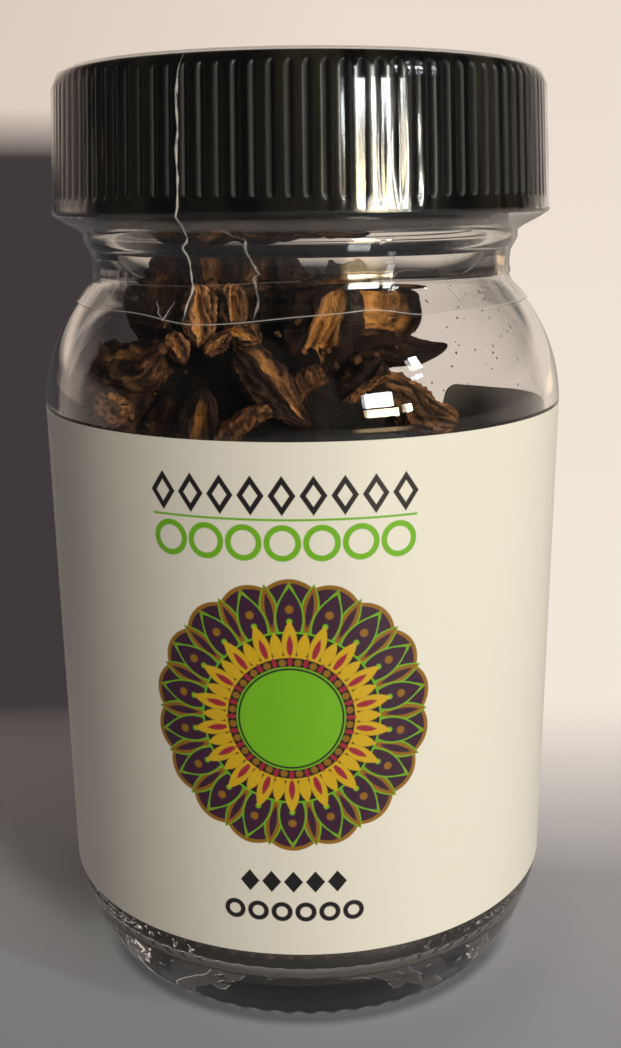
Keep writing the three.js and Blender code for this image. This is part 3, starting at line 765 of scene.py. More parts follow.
def rosette(sheet):
    """Rings of pointed petals round a plain disc."""
    x = (sheet.across - ROSETTE_MIDDLE[0]) * (1 / ROSETTE_SCALE)
    y = (sheet.up - ROSETTE_MIDDLE[1]) * (1 / ROSETTE_SCALE)
    radius = x.far(y)
    angle = y.apply("ARCTAN2", x)

    def sector(count, shift):
        """Distance along the round from the middle of the nearest of count sectors."""
        turn = angle * (count / TURN) + shift
        return (turn - turn.apply("ROUND")) * radius * (TURN / count)

    def petal(colour, count, shift, middle, half_long, half_wide, grow=0.0):
        """A ring of leaves: two arcs that meet in a point at each end."""
        out = (radius - middle) * (1 / (half_long + grow))
        width = (out * out * -1 + 1) * (half_wide + grow)
        sheet.lay(colour, sector(count, shift).size() - width)

    def bead(colour, count, shift, middle, size):
        sheet.lay(colour, sector(count, shift).far(radius - middle) - size)

    def disc(colour, size):
        sheet.lay(colour, radius - size)

    scallop = (angle * (18 / TURN)).apply("FRACT") - 0.5
    edge = (scallop * scallop * -1 + 0.25) * 2.6
    sheet.lay(OCHRE, radius - edge - (ROSETTE_RADIUS - 0.65))
    sheet.lay(PLUM, radius - edge - (ROSETTE_RADIUS - 1.0))
    petal(LIME, 36, 0.0, 9.3, 2.1, 0.62, 0.14)
    petal(OCHRE, 36, 0.0, 9.3, 2.1, 0.62)
    petal(PLUM, 36, 0.0, 9.3, 1.5, 0.3)
    petal(LIME, 18, 0.5, 8.6, 2.5, 1.05, 0.14)
    petal(PLUM, 18, 0.5, 8.6, 2.5, 1.05)
    bead(OCHRE, 18, 0.5, 9.3, 0.34)
    bead(LIME, 18, 0.5, 8.3, 0.24)
    disc(LIME, 7.45)
    disc(INK, 7.3)
    petal(YELLOW, 36, 0.0, 6.2, 1.25, 0.5)
    petal(YELLOW, 18, 0.5, 6.5, 1.9, 0.62)
    petal(RED, 18, 0.5, 6.2, 1.0, 0.26)
    bead(YELLOW, 18, 0.0, 6.9, 0.3)
    disc(YELLOW, 5.45)
    disc(INK, 5.25)
    bead(OCHRE, 24, 0.5, 4.85, 0.3)
    petal(RED, 24, 0.0, 4.9, 0.5, 0.2)
    disc(LIME, 4.5)
    disc(INK, 4.36)
    disc(LIME, 4.2)


def printed_paper():
    finish = Finish("printed_paper")
    sheet = Print(finish)
    rosette(sheet)
    sheet.diamonds(INK, (-1.9, 53.7), 2.7, 9, 1.75, 0.52)
    sheet.rings(LIME, (-1.9, 49.55), 3.4, 7, 1.62, 0.52)
    sheet.rule(LIME, (-1.9, 51.6), 11.9, 0.1)
    sheet.diamonds(INK, (-1.4, 17.2), 2.05, 5, 1.1, None)
    sheet.rings(INK, (-1.4, 14.1), 2.25, 6, 1.0, 0.46)
    fibre = finish.noise(2600, 4)
    blotch = finish.noise(120, 3)
    shade = finish.node("Mix", data_type="RGBA", blend_type="MULTIPLY")
    finish.link((blotch * 0.12).socket, shade.inputs["Factor"])
    # painted shade: the back of the sheet is painted dark
    finish.link(finish.colour(PAPER_BACK_PAINTED_SHADE, sheet.colour, sheet.front), shade.inputs[6])
    shade.inputs[7].default_value = (0.80, 0.76, 0.68, 1)
    finish.drive(Base_Color=shade.outputs[2], Roughness=fibre * 0.1 + 0.27)
    finish.set(IOR=1.48, Specular_IOR_Level=0.5)
    finish.bump(fibre, 0.00002, 0.4)
    return finish.material


def make_label():
    piece = finish_piece("paper_label", label_bmesh(), printed_paper(), sharp=50)
    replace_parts(piece, "label")


make_label()

# %% [markdown]
# ## The film's finish
# The seal is a sleeve of clear film, shrunk over the cap and the neck with hot air. Film this
# thin doesn't bend light that can be seen, so its material only mixes a mirror into plain
# transparency, more of it where the film is seen edge on. The Fresnel node takes a face seen
# from behind for the inside of a solid and makes it a full mirror, so a high power of Layer
# Weight's Facing is used, which is the same from both sides. Where the film is welded,
# folded or stretched it turns milky, and where it is shrunk tight on the ribs it mirrors
# less; two attributes say where.

# %% Film material


def clear_film():
    finish = Finish("clear_film")
    normal = finish.relief(finish.noise(240, 2, (1, 1, 0.25)), 0.0003, 0.3)
    mirror = finish.node("BsdfGlossy")
    mirror.inputs["Color"].default_value = (0.95, 0.95, 0.95, 1)
    mirror.inputs["Roughness"].default_value = 0.1
    through = finish.node("BsdfTransparent")
    through.inputs["Color"].default_value = (0.985, 0.985, 0.98, 1)
    slant = finish.node("LayerWeight")
    facing = finish.field(slant.outputs["Facing"])
    loose = facing.apply("POWER", 5.0) * 0.95 + 0.03
    tight = facing.apply("POWER", 9.0) * 0.6 + 0.021
    share = loose + (tight - loose) * finish.attribute("tight")
    for bumped in (mirror, slant):
        finish.link(normal, bumped.inputs["Normal"])
    lit = finish.node("BsdfDiffuse")
    glow = finish.node("BsdfTranslucent")
    for milk in (lit, glow):
        milk.inputs["Color"].default_value = (0.82, 0.80, 0.76, 1)
    clear = finish.blend(through, mirror, share)
    milky = finish.blend(lit, glow, 0.45)
    return finish.surface(finish.blend(clear, milky, finish.attribute("haze")))


FILM = clear_film()
print("film nodes:", len(FILM.node_tree.nodes))

# %% [markdown]
# ## The sleeve
# The film hugs what it covers: the shoulder, the neck, the bead, and the cap, where it sinks
# a little between the ribs. It is turned like the jar, then its points are moved: the lower
# edge wanders up and down, and small puckers stand off below the cap. Welds and folds are
# narrow strips laid on it along a few points each.

# %% Sleeve
SEAL_BOTTOM_Z = 68.4
SEAL_EDGE = 0.08
SEAL_GAP = 0.25
SEAL_MOUTH_RADIUS = 19.4
SEAL_STEPS = 8 * RIBS
FILM_THICKNESS = 0.06
STRIP_THICKNESS = 0.04


def seal_profile():
    gap = SEAL_GAP
    on_shoulder = SEAL_BOTTOM_Z + 1.5
    knots = [
        (outside_radius(SEAL_BOTTOM_Z) + gap, SEAL_BOTTOM_Z),
        (outside_radius(SEAL_BOTTOM_Z + SEAL_EDGE) + gap, SEAL_BOTTOM_Z + SEAL_EDGE),
        (outside_radius(on_shoulder) + gap, on_shoulder),
        (NECK_RADIUS + 1.2 * gap, FILLET_Z + 0.6),
        (NECK_RADIUS + 1.4 * gap, BEAD_Z - 1.3 * BEAD_HALF_HEIGHT),
        (BEAD_RADIUS + 1.4 * gap, BEAD_Z - 0.2 * BEAD_HALF_HEIGHT),
        (BEAD_RADIUS + 1.4 * gap, BEAD_Z + 0.4 * BEAD_HALF_HEIGHT),
        (BEAD_RADIUS + 3.6 * gap, BEAD_Z + 0.8 * BEAD_HALF_HEIGHT),
        (CAP_RADIUS - 0.5, CAP_BOTTOM_Z - 1.6 * gap),
        (CAP_RADIUS + gap, CAP_BOTTOM_Z + 0.1),
        (cap_radius(RIB_FOOT_Z) + gap, RIB_FOOT_Z),
        (cap_radius(82.0) + gap, 82.0),
        (CAP_SHOULDER_RADIUS + gap, RIB_TOP_Z),
        (CAP_SHOULDER_RADIUS - 0.2 * CAP_ROUNDING, RIB_TOP_Z + 0.8 * CAP_ROUNDING),
        (CAP_SHOULDER_RADIUS - 1.0 * CAP_ROUNDING, CAP_TOP_Z + gap),
        (SEAL_MOUTH_RADIUS, CAP_TOP_Z + gap),
    ]
    path = []
    for (r0, z0), (r1, z1) in zip(knots, knots[1:]):
        step = 1.2 if z0 > RIB_FOOT_Z - 0.1 and z1 < RIB_TOP_Z + 0.1 else 0.5
        parts = max(1, round(math.hypot(r1 - r0, z1 - z0) / step))
        path += [(mix(r0, r1, i / parts), mix(z0, z1, i / parts)) for i in range(parts)]
    return path + [knots[-1]]


def film_radius(z):
    """The sleeve's radius at a height, before its puckers."""
    if z < FILLET_Z:
        return outside_radius(z) + SEAL_GAP
    for (r0, z0), (r1, z1) in zip(SEAL_PROFILE, SEAL_PROFILE[1:]):
        if z0 <= z < z1:
            return mix(r0, r1, (z - z0) / (z1 - z0))
    return CAP_SHOULDER_RADIUS


def film_edge(azimuth):
    """How far the lower edge lies above or below its usual height."""
    dip = 0.75 * bell(azimuth + 0.42, 0.2 if azimuth < -0.42 else 0.33)
    wander = 0.07 * math.sin(3 * azimuth + 1) + 0.05 * math.sin(7 * azimuth)
    return wander - dip + 0.2 * bell(azimuth - 0.27, 0.1) - 0.25 * bell(azimuth - 0.47, 0.09)


def crease(azimuth, z):
    """How far the film stands off there, in millimetres: puckers below the cap's edge."""
    pucker = ripple(9 * azimuth, 0.25 * z, 3)
    fine = ripple(26 * azimuth, 0.5 * z, 7)
    below_cap = smooth(z, 68.2, 69.5) * (1 - smooth(z, 76.2, 77.5))
    on_skirt = smooth(z, 76.5, 78.0) * (1 - smooth(z, 88.0, 89.3))
    valley = 1 - abs(math.cos(0.5 * RIBS * azimuth))
    stands_off = (0.16 * max(0, pucker) + 0.08 * max(0, fine)) * (below_cap + 0.3 * on_skirt)
    return stands_off - (0.05 + 0.05 * pucker) * valley * on_skirt


def strip(bm, path, wide, haze, proud=0.06):
    """A narrow strip laid on the sleeve along (azimuth in degrees, height) points."""
    part = bmesh.new()
    bmesh.ops.create_grid(part, x_segments=5 * len(path), y_segments=2, size=0.5)
    layer = part.verts.layers.float.new("haze")
    for vert in part.verts:
        along = (vert.co.x + 0.5) * (len(path) - 1)
        i = min(int(along), len(path) - 2)
        share = smooth(along - i, 0, 1)
        (azimuth0, z0), (azimuth1, z1) = path[i], path[i + 1]
        side = 2 * vert.co.y
        z = mix(z0, z1, along - i)
        end = smooth(0.5 - abs(vert.co.x), 0, 0.06)
        radius = film_radius(z) + 0.03 + proud * (1 - side * side) * end
        uneven = 1 + 0.8 * ripple(1.3 * z, azimuth0, 5)
        width = wide * end * uneven
        azimuth = math.radians(mix(azimuth0, azimuth1, share)) + side * width / 2 / radius
        vert[layer] = min(1, haze * uneven) * (1 - 0.6 * abs(side))
        vert.co = on_cylinder(azimuth, radius, z)
    bmesh.ops.solidify(part, geom=everything(part), thickness=STRIP_THICKNESS)
    face_outwards(part)
    join(bm, part)


SEAL_PROFILE = seal_profile()
print("the sleeve's profile has", len(SEAL_PROFILE), "points")

# %% Welds and folds, and the whole seal
MAIN_WELD = [
    (-24.0, 89.4), (-24.7, 85.7), (-24.4, 83.5), (-24.8, 81.8), (-24.5, 79.5), (-24.6, 77.5),
    (-25.3, 76.0), (-26.6, 75.0), (-27.1, 74.5), (-28.4, 73.9), (-27.7, 73.1), (-27.4, 72.2),
    (-27.0, 70.8), (-27.0, 69.5), (-26.4, 67.8),
]
THIN_FOLD = [
    (-17.6, 75.5), (-15.7, 75.0), (-12.6, 74.6), (-12.7, 73.7), (-11.8, 72.9), (-10.8, 72.2),
    (-10.1, 71.8), (-11.2, 71.4), (-10.8, 70.6), (-9.8, 69.4), (-10.4, 67.9),
]
SMALL_FOLDS = [
    ([(-35.8, 69.4), (-34.0, 68.6), (-31.6, 67.8)], 0.14, 0.5),
    ([(-30.6, 69.4), (-31.2, 68.5), (-31.8, 67.8)], 0.10, 0.4),
    ([(-62, 70.5), (-45, 70.6), (-25, 70.7), (-12, 71.0), (0, 71.15)], 0.07, 0.35),
    ([(-57, 70.5), (-54.5, 69.9), (-53.8, 69.4), (-53.4, 68.6)], 0.10, 0.4),
    ([(38.3, 70.3), (39.4, 69.5), (39.7, 68.5)], 0.09, 0.3),
    ([(42.3, 70.4), (41.2, 69.4), (40.2, 68.5)], 0.09, 0.3),
    ([(19.8, 70.5), (23.2, 71.7), (26.0, 71.9), (30.0, 71.8)], 0.10, 0.35),
    ([(148, 75.4), (147, 73.0), (150, 70.2), (149, 68.4)], 0.16, 0.45),
]


def haze_at(z, edge_z):
    """How milky the film is: at its cut edge, and where it bridges from the bead to the cap."""
    cut = 1 - smooth(z, edge_z + 0.02, edge_z + SEAL_EDGE)
    bridge = smooth(z, BEAD_Z + 0.8, BEAD_Z + 1.1) * (1 - smooth(z, 75.9, 76.3))
    return max(0.65 * cut, 0.12 * bridge)


def make_seal():
    bm = turned(SEAL_PROFILE, SEAL_STEPS)
    haze = bm.verts.layers.float.new("haze")
    tight = bm.verts.layers.float.new("tight")
    for vert in bm.verts:
        azimuth, radius = polar(vert.co)
        z = vert.co.z
        vert[haze] = haze_at(z, SEAL_BOTTOM_Z)
        vert[tight] = smooth(z, CAP_BOTTOM_Z, RIB_FOOT_Z)
        low = 1 - smooth(z, SEAL_BOTTOM_Z + SEAL_EDGE, SEAL_BOTTOM_Z + 1.6)
        z += low * film_edge(azimuth)
        if z < FILLET_Z:
            radius = film_radius(z)
        if z > CAP_TOP_Z:
            inner = 1 - smooth(radius, SEAL_MOUTH_RADIUS, SEAL_MOUTH_RADIUS + 1.5)
            radius += inner * (0.5 * math.sin(4 * azimuth) + 0.3 * math.sin(7 * azimuth))
        vert.co = on_cylinder(azimuth, radius + crease(azimuth, z), z)
    bmesh.ops.solidify(bm, geom=everything(bm), thickness=FILM_THICKNESS)
    face_outwards(bm)
    strip(bm, MAIN_WELD, 0.22, 0.8, 0.12)
    strip(bm, THIN_FOLD, 0.22, 0.22, 0.12)
    for path, wide, milk in SMALL_FOLDS:
        strip(bm, path, wide, milk)
    piece = finish_piece("film_sleeve", bm, FILM)
    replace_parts(piece, "shrink_seal")


make_seal()

# %% [markdown]
# ## Random numbers for the heap
# The heap must be the same each time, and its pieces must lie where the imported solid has
# them. So the draws come from a small generator with a fixed seed, and they are made in the
# same order as when the solid was built.

# %% Random draws
HEAP_SEED = 20714
SEED_FACTOR = 16807
SEED_LIMIT = 2147483647
heap_state = {"value": HEAP_SEED}


def draw():
    heap_state["value"] = (heap_state["value"] * SEED_FACTOR) % SEED_LIMIT
    return heap_state["value"] / SEED_LIMIT


def between(low, high):
    return low + (high - low) * draw()


print("first seed:", HEAP_SEED)

# %% [markdown]
# ## Pieces of star anise
# A star anise fruit is a ring of eight boat-shaped carpels. When dry they split open along
# the top and show a smooth golden inside and a glossy seed. Each carpel starts as a UV
# sphere with its poles at hub and beak. A rule moves its points: a trough along the top
# with ragged lips, a narrow keel below, a turned-up beak, and wrinkles outside. Attributes
# remember how deep in the trough a point is, how high on a wrinkle, how light the whole
# piece is, and where on the piece it lies, because the finish follows them.

# %% Shapes of the pieces
POD_LONG = 12.5
POD_WIDE = 4.6
POD_TALL = 6.2


class Piece:
    """One loose piece: its own bmesh, with attributes that its finish reads."""

    def __init__(self, bm):
        self.bm = bm
        self.inner, self.crest, self.tone = (
            bm.verts.layers.float.new(name) for name in ("inner", "crest", "tone")
        )
        self.grain = bm.verts.layers.float_vector.new("grain")

    @property
    def points(self):
        return self.bm.verts

    def remember(self, offset):
        """Keeps each point's place on the piece, before the piece is set down."""
        for vert in self.bm.verts:
            vert[self.grain] = vert.co + Vector((offset, 0, 3 * offset))
        return self


def ball(sides, rings):
    """A unit sphere with its poles on X."""
    bm = bmesh.new()
    bmesh.ops.create_uvsphere(
        bm, u_segments=sides, v_segments=rings, radius=1,
        matrix=Matrix.Rotation(math.pi / 2, 4, "Y"),
    )
    return Piece(bm)


def ridges(along, around, offset):
    """Wrinkles that wander from hub to beak: 0 in the furrows, 1 on the crests."""
    wander = around + 0.5 * ripple(1.9 * along, offset, 0)
    side, back = math.sin(wander), math.cos(wander)
    broad = abs(ripple(1.3 * along, 2.3 * side, 2.3 * back + offset))
    narrow = abs(ripple(3.4 * along, 5.0 * side, 5.0 * back - offset))
    return 0.65 * (1 - smooth(broad, 0.0, 0.34)) + 0.35 * (1 - smooth(narrow, 0.0, 0.38))


def own_tone(offset):
    """How light a piece is, from 0 to 1. Most are dark."""
    return 0.16 + 0.45 * ripple(offset, 1.5, 2.5)


def carpel(offset, long, wide, tall, gape, tone=None, swell=0.25, sides=30, rings=24):
    """One boat-shaped pod. The offset makes its wrinkles its own."""
    piece = ball(sides, rings)
    spread = mix(0.28, 0.8, min(1, 2 * gape))
    depth = mix(0.5, 1.5, min(1, 2 * gape))
    tone = own_tone(offset) if tone is None else tone
    for vert in piece.points:
        along = max(-1.0, min(1.0, vert.co.x))
        around = math.atan2(vert.co.y, vert.co.z)
        ring = math.hypot(vert.co.y, vert.co.z)
        side, back = math.sin(around), math.cos(around)
        torn = ripple(4 * along, offset, math.copysign(3, around))
        trough = math.exp(-((around / (spread * (1 + 0.4 * torn))) ** 4)) * ring * ring
        crest = ridges(along, around, offset)
        skin = 1 + (0.44 * crest - 0.2) * (1 - trough) * ring
        uneven = ripple(1.3 * along, side + offset, back)
        fullness = ring**0.85 * (1 + swell * along) * (1 + 0.2 * uneven)
        beak = max(0.0, (along - 0.5) / 0.5) ** 2
        lip = bell(abs(around) - 1, 0.6)
        keel = 1 - 0.3 * smooth(-back, 0, 1)
        vert[piece.inner] = smooth(trough, 0.2, 0.6)
        vert[piece.crest] = crest
        vert[piece.tone] = tone
        vert.co = Vector((
            (long / 2) * (along + 0.12 * beak),
            (wide / 2) * fullness * side * (1 + gape * lip) * keel * skin,
            (tall / 2) * (fullness * back * skin - depth * trough + 0.5 * beak),
        ))
    return piece.remember(offset)


def seed(offset, long):
    piece = ball(16, 12)
    for vert in piece.points:
        vert[piece.tone] = own_tone(offset)
        vert.co = Vector((vert.co.x * long / 2, vert.co.y * long * 0.36,
                          vert.co.z * long * 0.2))
    return piece.remember(offset)


def stalk(offset, long, thick, tone=0.6):
    piece = ball(18, 26)
    for vert in piece.points:
        along = vert.co.x
        around = math.atan2(vert.co.y, vert.co.z)
        end = smooth(1 - abs(along), 0.0, 0.03)
        crest = ridges(1.5 * along, around, offset)
        knot = 0.16 * ripple(3.5 * along, offset, 4)
        radius = (thick / 2) * end * (1.1 - 0.3 * along + 0.3 * crest + knot)
        bend = 0.09 * long * (1 - along * along)
        vert[piece.crest] = crest
        vert[piece.inner] = 1 - end
        vert[piece.tone] = tone
        vert.co = Vector(((long / 2) * along, radius * math.sin(around),
                          radius * math.cos(around) + bend))
    return piece.remember(offset)


def shard(offset, long, wide):
    """A splinter of pod wall: a curved chip with a torn outline."""
    bm = bmesh.new()
    bmesh.ops.create_grid(bm, x_segments=14, y_segments=8, size=0.5)
    bmesh.ops.solidify(bm, geom=everything(bm), thickness=0.12)
    piece = Piece(bm)
    tone = own_tone(offset)
    for vert in piece.points:
        x, y, side = vert.co
        torn = 0.18 * ripple(5 * x, 5 * y, offset)
        taper = 1 - 0.5 * x - 0.35 * abs(x)
        crest = 0.5 + 0.5 * ripple(3 * x, 9 * y, offset)
        sag = 1.8 * x * x + 0.25 * wide * abs(y)
        vert[piece.crest] = crest
        vert[piece.inner] = 1.0 if side > -0.06 else 0.0
        vert[piece.tone] = tone
        vert.co = Vector((long * (x * (1 + 0.2 * y) + torn * (abs(x) > 0.3)),
                          wide * (y * taper + torn * (abs(y) > 0.3)),
                          8 * side + 0.4 * (crest - 0.5) - sag))
    return piece.remember(offset)


print("a pod is", POD_LONG, "mm long")

# %% [markdown]
# ## Setting the pieces down
# Each piece is placed by its middle, the direction of its length and the side that its top
# faces. Against the glass it would poke through, so each point that comes too near the
# wall is drawn back to it, as a dry pod is pressed flat there.

# %% Placing
HEAP_CLEARANCE = 0.35


def keep_inside(point):
    """Draws a point back to the room that the glass leaves."""
    radius = polar(point)[1]
    low = FLOOR_Z + FLOOR_RISE * (1 - (radius / 18) ** 2)
    point.z = max(point.z, max(low, FLOOR_Z) + HEAP_CLEARANCE)
    room = inside_radius(point.z) - HEAP_CLEARANCE
    if radius > room:
        point.x *= room / radius
        point.y *= room / radius
    return point


KINDS = {kind: bmesh.new() for kind in ("pods", "seeds", "stalks", "shards", "crumbs")}
for kind_bm in KINDS.values():
    Piece(kind_bm)


def set_down(kind, piece, middle, along, top):
    """Places a piece and adds it to the others of its kind."""
    x = along.normalized()
    y = top.cross(x).normalized()
    z = x.cross(y)
    for vert in piece.points:
        p = vert.co
        vert.co = keep_inside(middle + x * p.x + y * p.y + z * p.z)
    join(KINDS[kind], piece.bm)


def against_glass(kind, piece, azimuth, z, long, thick, tilt, roll):
    outward = on_cylinder(azimuth, 1, 0)
    sideways = Vector((math.cos(azimuth), math.sin(azimuth), 0))
    along = sideways * math.cos(tilt) + Vector((0, 0, 1)) * math.sin(tilt)
    across = outward.cross(along).normalized()
    top = outward * math.cos(roll) + across * math.sin(roll)
    reach = (0.45 * long * math.cos(tilt)) ** 2 / (2 * BODY_RADIUS)
    rise = 0.3 * long * abs(math.sin(tilt)) + 0.3 * thick
    wall = min(inside_radius(z), inside_radius(z + rise), inside_radius(z - rise))
    middle = on_cylinder(azimuth, wall - HEAP_CLEARANCE - reach - thick / 2, z)
    set_down(kind, piece, middle, along, top)


def loose_piece(azimuth, z, scale):
    """A piece of the random part of the heap. Two thirds are carpels."""
    tilt = between(-1.1, 1.1)
    roll = between(-1.6, 1.6)
    size = scale * between(0.8, 1.1)
    kind = draw()
    offset = 100 * kind + azimuth
    long = size * (POD_LONG if kind < 0.68 else 9)
    if kind < 0.68:
        gape = between(0, 0.4)
        thick = size * mix(POD_TALL, POD_WIDE, abs(math.sin(roll)))
        pod = carpel(offset, long, size * POD_WIDE, size * POD_TALL, gape)
        against_glass("pods", pod, azimuth, z, long, thick, tilt, roll)
    elif kind < 0.8:
        stick = stalk(offset, 1.3 * long, 2)
        against_glass("stalks", stick, azimuth, z, 1.3 * long, 2.2, tilt, roll)
    elif kind < 0.9:
        splinter = shard(offset, long, 4.5)
        against_glass("shards", splinter, azimuth, z, long, 2.4, tilt, roll)
    else:
        against_glass("seeds", seed(offset, 6.5), azimuth, z, 6.5, 3.4, tilt, roll)


print("room at the shoulder:", round(inside_radius(64) - HEAP_CLEARANCE, 1))

# %% [markdown]
# ## The heap
# The heap stands up into the neck left of the middle and falls away steeply on the right.
# At the front its pieces are given one by one; round the shoulder, behind the bare strip
# between the label's ends, and along the heel a rule scatters them. One whole star lies
# behind the bare strip.

# %% Heap pieces
HEAP_TOP_Z = 68.0
CORE_RADIUS = 21.2
STAR_ARM = 9.6
STAR_AZIMUTH = math.radians(176)
STAR_Z = 36.0
STAR_HUB_RADIUS = 20.2
CRUMBS = 230
CRUMBS_ON_GLASS = 80


def pile_height(x):
    """The heap's top: level on the left, a step down right of the middle, a steep slope."""
    right = 2.6 * smooth(x, 0.5, 4) + 15 * smooth(x, 6, 13)
    return HEAP_TOP_Z - right - 7 * smooth(-x, 11.5, 14.5)


def front_pieces():
    def place(kind, piece, middle, along, top):
        set_down(kind, piece, Vector(middle), Vector(along), Vector(top))

    def pod(offset, size, gape, tone, middle, along, top, swell=0.25, inside=None):
        piece = carpel(offset, *size, gape, tone, swell, 48, 38)
        if inside is not None:
            for vert in piece.points:
                vert[piece.tone] = mix(tone, inside, vert[piece.inner])
        place("pods", piece, middle, along, top)

    # the wrinkled one in the middle, its neighbours and a torn stalk
    pod(1, (8.2, 3.5, 3.6), 0, 0.1,
        (-2.8, -20.4, 61.9), (4.8, -0.5, -6.0), (0.6, -0.7, 0.5), -0.4)
    pod(4, (4.6, 2.3, 2.6), 0, 0.1, (0.5, -18.3, 60.6), (0.4, 0.3, 3), (0.3, -0.8, 0.6))
    pod(11, (8, 2.9, 3.6), 0.16, -0.3,
        (-9.2, -20.2, 57.9), (0.9, -0.7, 6), (0.3, -1, 0), 0.1, 0.0)
    pod(12, (10, 4.2, 5.0), 0.1, -0.4, (-12.6, -16.4, 56), (3, -2, 5), (-0.6, -0.6, 0.3))
    # the open boat over the right slope, its ragged upper lip, and a torn half beside it
    pod(2, (8.2, 4.6, 4.6), 0.45, -0.3,
        (6.3, -10.4, 67.0), (9, 0.2, -0.7), (0, -0.9, 0.4), 0, 1.2)
    pod(22, (8.8, 2.6, 3.2), 0, -0.25, (8.3, -11.8, 64.2), (9, 0.3, -1.0), (0, -0.4, 1), -0.2)
    pod(3, (7.4, 1.6, 1.8), 0.05, -0.1,
        (7.4, -9.6, 69.5), (9, 0.2, -0.9), (0, -0.8, 0.42), -0.3)
    pod(14, (9.6, 6.4, 5.0), 0.05, 0.0,
        (1.6, -12.0, 65.9), (2.6, -0.6, 5.4), (0.2, -1, 0.15), 0, 0.6)
    # the slope below it
    pod(13, (8.6, 4.4, 5.4), 0, -0.35, (4.4, -15.2, 59.4), (5.0, 0.6, 4.0), (-0.5, -0.2, 1))
    pod(5, (8.4, 3.2, 4.0), 0, 0.5, (9.4, -15.4, 59.9), (6.2, 0.5, -4.8), (0.4, -0.2, 1))
    # broken ends that stand up behind the seal's edge
    pod(6, (5.6, 2.7, 2.6), 0, 1.3, (-9.0, -14.4, 67.5), (0.1, 1.2, 6), (0, -1, 0.2), 0)
    pod(7, (4.8, 2.1, 2.2), 0, 1.25, (-6.0, -14.2, 68.3), (-0.2, 1.0, 6), (0, -1, 0.2), 0)
    pod(15, (3.4, 2.2, 2.2), 0, 0.6, (-5.3, -15.0, 65.9), (3, -0.5, -1.0), (0, -1, 0.2), 0)
    pod(16, (2.9, 1.6, 1.7), 0, 0.6, (-7.5, -15.6, 65.2), (3, 0.3, 2.4), (0, -1, 0.2), 0)
    pod(17, (2.6, 1.9, 1.8), 0, 0.8, (-10.9, -16.6, 65.1), (1, 0.3, -2.2), (0, -1, 0.2), 0)
    # dark ones behind them, up into the neck
    pod(8, (9, 4.0, 5), 0.2, -0.1, (-0.6, -7.8, 69.6), (2, -1, -7), (0.8, -0.5, 0.3))
    pod(18, (9.6, 4.8, 5.6), 0.3, -0.3, (-12.2, -7.6, 69.4), (2, -0.6, 4.6), (-0.3, -1, 0.3))
    pod(19, (8.6, 4.8, 5.2), 0.2, -0.35, (-8.2, -8.6, 70.2), (-1.2, 0.4, 6), (0.2, -1, 0.2))
    pod(20, (9, 4.6, 5.4), 0.3, -0.3, (-4.2, -8.2, 69.8), (1.6, -0.3, 6), (-0.2, -1, 0.3))
    pod(21, (8, 4.2, 4.8), 0.3, -0.1, (2.6, -6.2, 69.9), (5, -0.6, 1.6), (0, -0.8, 0.6))
    # dark rough pods on the left
    pod(9, (7.6, 4.2, 4.8), 0.2, 0.25, (-15.4, -13.9, 62.9), (5.5, -3, 1.0), (-0.4, -0.4, 1))
    pod(10, (4.2, 2.5, 2.6), 0, 1.4, (-16.9, -16.6, 59.7), (4, -3.0, -0.6), (-0.3, 0.3, 1), 0)
    # torn stalks, the last one low at the heel
    for offset, size, middle, along, top in (
        (1, (5.4, 1.5, 0.55), (-4.9, -21.3, 58.9), (4.0, 0.4, 2.7), (-0.5, -0.5, 1)),
        (4, (3.2, 1.7, 0.15), (0.5, -18.9, 62.2), (2.6, 0.4, 1.5), (-0.3, -0.5, 1)),
        (5, (4.6, 0.7, 0.3), (5.6, -17.2, 61.1), (3.2, 0.4, 2.1), (-0.4, -0.5, 1)),
        (2, (8, 1.8), (6, -19.4, 6.6), (0.8, 1.6, 4), (1, 0, 0)),
    ):
        place("stalks", stalk(offset, *size), middle, along, top)


def shoulder_pieces():
    count = 12
    for z in (53.5, 59.5, 65):
        for i in range(count):
            azimuth = TURN * (i + between(-0.3, 0.3)) / count
            height = z + between(-1.5, 1.5)
            in_front = abs(azimuth) < 0.7 or azimuth > TURN - 0.7
            x = (inside_radius(height) - 4) * math.sin(azimuth)
            lean = 5 if x > 0 else 0
            if height < pile_height(x + lean) + 1 and not (in_front and z > 55):
                loose_piece(azimuth, height, 0.85 if z > 62 else 1)


def strip_pieces():
    rows, columns = 6, 4
    for row in range(rows):
        for column in range(columns):
            share = (column + (0.3 if row % 2 else 0)) / (columns - 1)
            azimuth = math.radians(mix(142, 213, share))
            z = mix(11, 48.5, row / (rows - 1)) + between(-1, 1)
            across = CORE_RADIUS * (azimuth - STAR_AZIMUTH)
            if math.hypot(across, z - STAR_Z) > 1.35 * STAR_ARM:
                loose_piece(azimuth, z, 0.95)


def whole_star():
    outward = on_cylinder(STAR_AZIMUTH, 1, 0)
    sideways = Vector((math.cos(STAR_AZIMUTH), math.sin(STAR_AZIMUTH), 0))
    hub = on_cylinder(STAR_AZIMUTH, STAR_HUB_RADIUS, STAR_Z)
    for arm in range(8):
        turn = math.radians(45 * arm + 15)
        along = sideways * math.cos(turn) + Vector((0, 0, math.sin(turn)))
        along -= outward * (0.2 * abs(math.cos(turn)))
        gape = 0.25 + 0.1 * (arm % 3)
        size = (STAR_ARM, 0.36 * STAR_ARM, 0.45 * STAR_ARM)
        pod = carpel(50 + arm, *size, gape, 0.6, sides=40, rings=30)
        middle = hub + along * (0.56 * STAR_ARM)
        set_down("pods", pod, middle, along, outward)
        bean = seed(arm, 4.2)
        set_down("seeds", bean, middle + outward * 0.5 + along * 0.4, along, outward)


